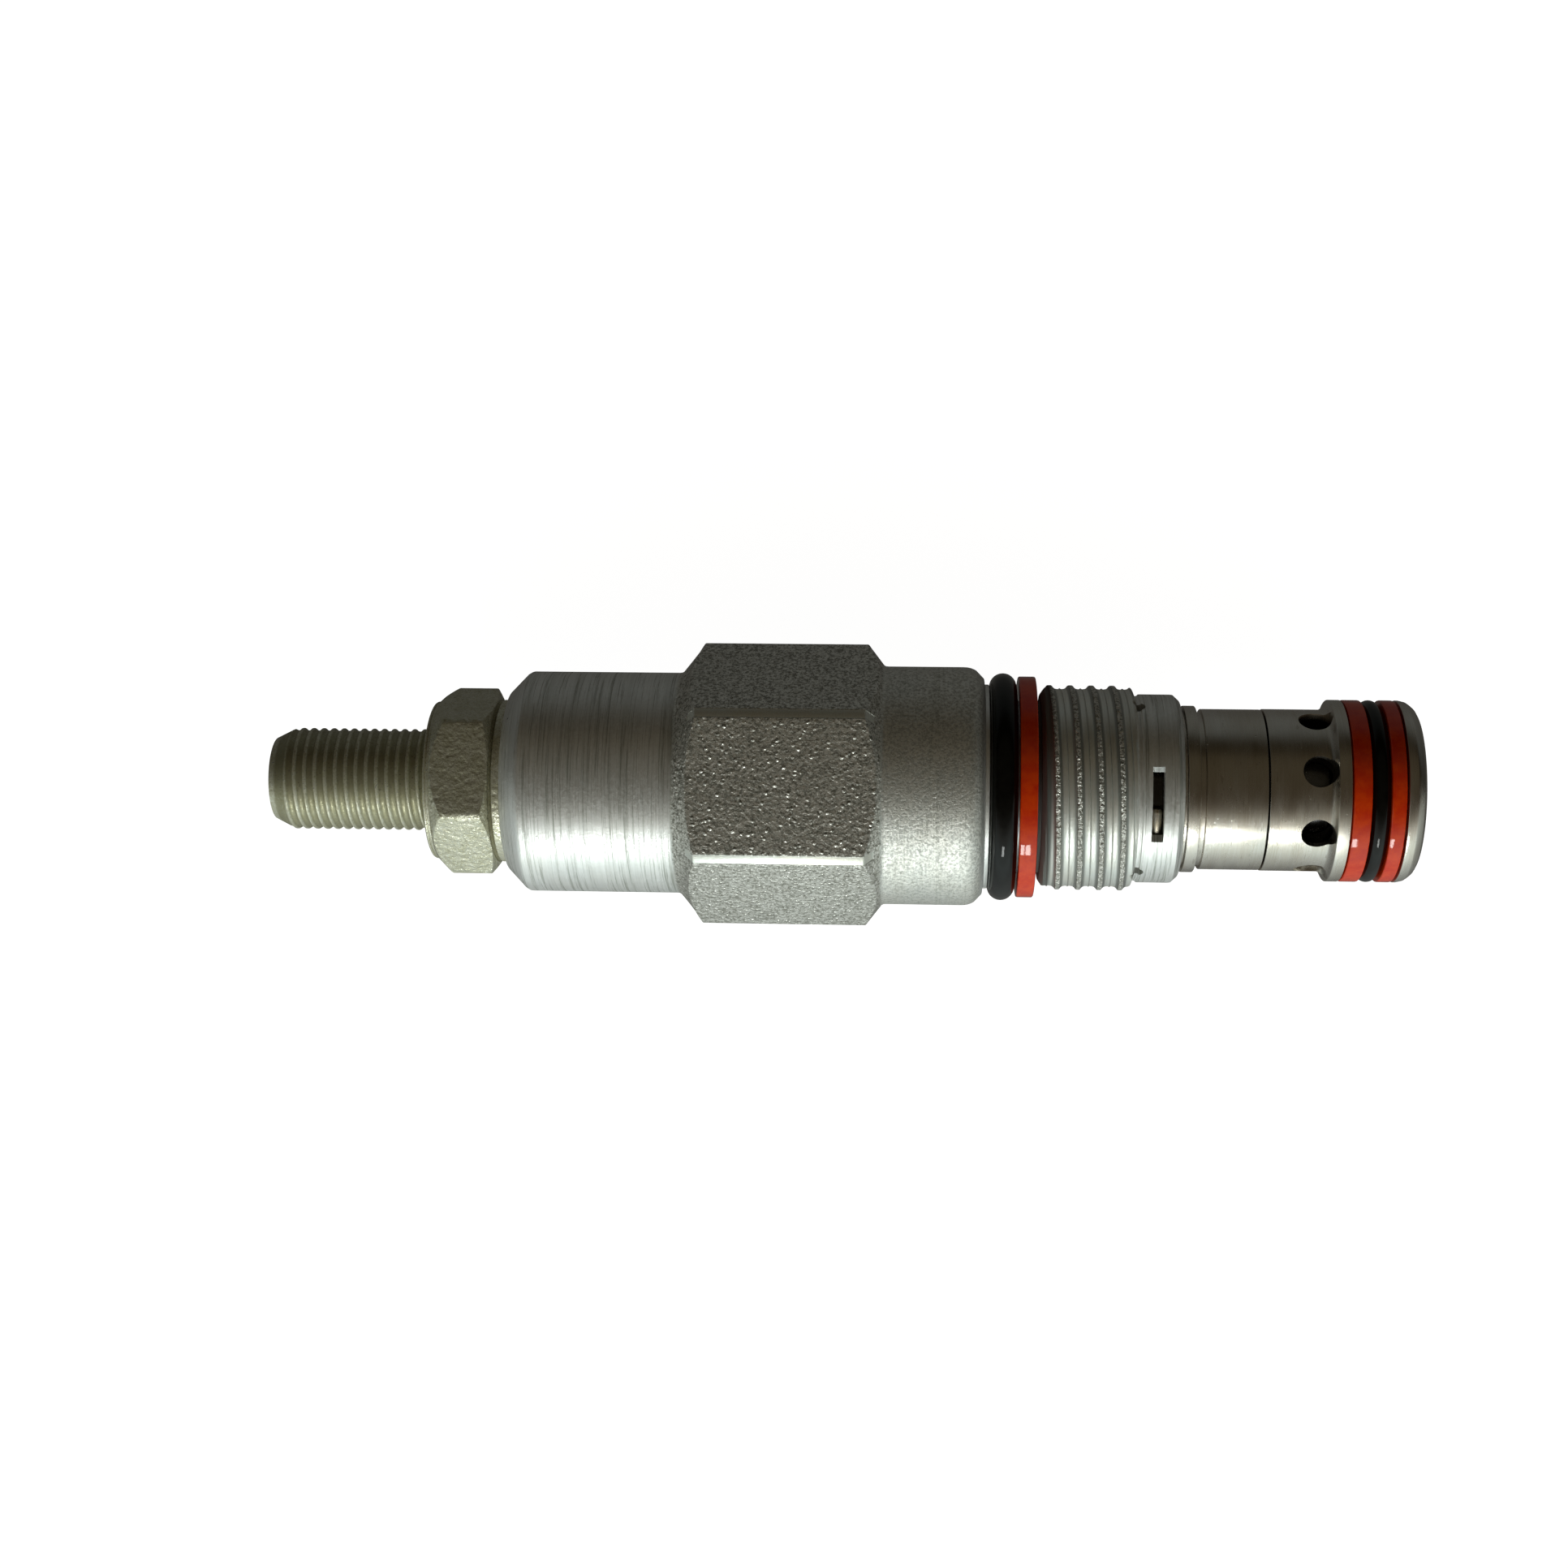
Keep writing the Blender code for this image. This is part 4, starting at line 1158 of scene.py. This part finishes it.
# A window of two panes. Its angles are in degrees, and its places along the axis are such sines too.
WINDOW_ANGLES = (61.0, 73.5)
WINDOW_CENTRE_X = -0.03
WINDOW_HALF_WIDTH = 0.13
MULLION_HALF_WIDTH = 0.016
WINDOW_COLOUR = (0.95, 1.0, 0.97)
WINDOW_STRENGTH = 13.0


def room_light():
    world = bpy.data.worlds.new("room")
    bpy.context.scene.world = world
    world.use_nodes = True
    tree = world.node_tree
    tree.nodes.clear()

    def math_node(operation, *values):
        made = tree.nodes.new("ShaderNodeMath")
        made.operation = operation
        for socket, value in zip(made.inputs, values):
            if isinstance(value, bpy.types.NodeSocket):
                tree.links.new(value, socket)
            else:
                socket.default_value = value
        return made.outputs[0]

    direction = tree.nodes.new("ShaderNodeTexCoord").outputs["Generated"]
    parts = tree.nodes.new("ShaderNodeSeparateXYZ")
    tree.links.new(direction, parts.inputs[0])
    x, y, z = parts.outputs
    angle = math_node("ARCTAN2", math_node("MULTIPLY", y, -1.0), z)
    share = math_node("ADD", math_node("DIVIDE", angle, TURN), 0.5)
    ramp = tree.nodes.new("ShaderNodeValToRGB")
    tree.links.new(share, ramp.inputs["Fac"])
    elements = ramp.color_ramp.elements
    while len(elements) > 1:
        elements.remove(elements[-1])
    for index, (degrees, colour) in enumerate(ROOM):
        position = degrees / 360.0 + 0.5
        element = elements[0] if index == 0 else elements.new(position)
        element.position = position
        element.color = (*colour, 1.0)
    low, high = (math.radians(value) for value in WINDOW_ANGLES)
    above = math_node("GREATER_THAN", angle, low)
    inside = math_node("MULTIPLY", above, math_node("LESS_THAN", angle, high))
    aside = math_node("ABSOLUTE", math_node("SUBTRACT", x, WINDOW_CENTRE_X))
    wide = math_node("MULTIPLY", inside, math_node("LESS_THAN", aside, WINDOW_HALF_WIDTH))
    pane = math_node("MULTIPLY", wide, math_node("GREATER_THAN", aside, MULLION_HALF_WIDTH))
    room = tree.nodes.new("ShaderNodeBackground")
    tree.links.new(ramp.outputs["Color"], room.inputs["Color"])
    fade = tree.nodes.new("ShaderNodeMapRange")
    fade.interpolation_type = "SMOOTHSTEP"
    tree.links.new(math_node("ABSOLUTE", x), fade.inputs["Value"])
    fade.inputs["From Min"].default_value = SIDE_FADE[0]
    fade.inputs["From Max"].default_value = SIDE_FADE[1]
    fade.inputs["To Min"].default_value = 1.0
    fade.inputs["To Max"].default_value = SIDE_SHARE
    tree.links.new(fade.outputs["Result"], room.inputs["Strength"])
    window = tree.nodes.new("ShaderNodeBackground")
    window.inputs["Color"].default_value = (*WINDOW_COLOUR, 1.0)
    tree.links.new(math_node("MULTIPLY", pane, WINDOW_STRENGTH), window.inputs["Strength"])
    both = tree.nodes.new("ShaderNodeAddShader")
    tree.links.new(room.outputs[0], both.inputs[0])
    tree.links.new(window.outputs[0], both.inputs[1])
    tree.links.new(both.outputs[0], tree.nodes.new("ShaderNodeOutputWorld").inputs["Surface"])


CAMERA_PLACE = Vector((8.45, 5.5, 232.1))
CAMERA_TARGET = Vector((-5.18, 0.0, 0.0))
CAMERA_ROLL = math.radians(0.62)
CAMERA_LENS = 54.97
CAMERA_SENSOR = 36.0


def camera():
    data = bpy.data.cameras.new("camera")
    data.lens = CAMERA_LENS
    data.sensor_width = CAMERA_SENSOR
    data.clip_start = 0.01
    data.clip_end = 20.0
    made = bpy.data.objects.new("camera", data)
    bpy.context.scene.collection.objects.link(made)
    back = (CAMERA_PLACE - CAMERA_TARGET).normalized()
    up = Vector((-math.sin(CAMERA_ROLL), math.cos(CAMERA_ROLL), 0.0))
    right = up.cross(back).normalized()
    up = back.cross(right)
    rotation = Matrix((right, up, back)).transposed().to_4x4()
    made.matrix_world = Matrix.Translation(CAMERA_PLACE * MM) @ rotation
    bpy.context.scene.camera = made


floor()
room_light()
camera()
bpy.context.scene.view_settings.view_transform = "Standard"
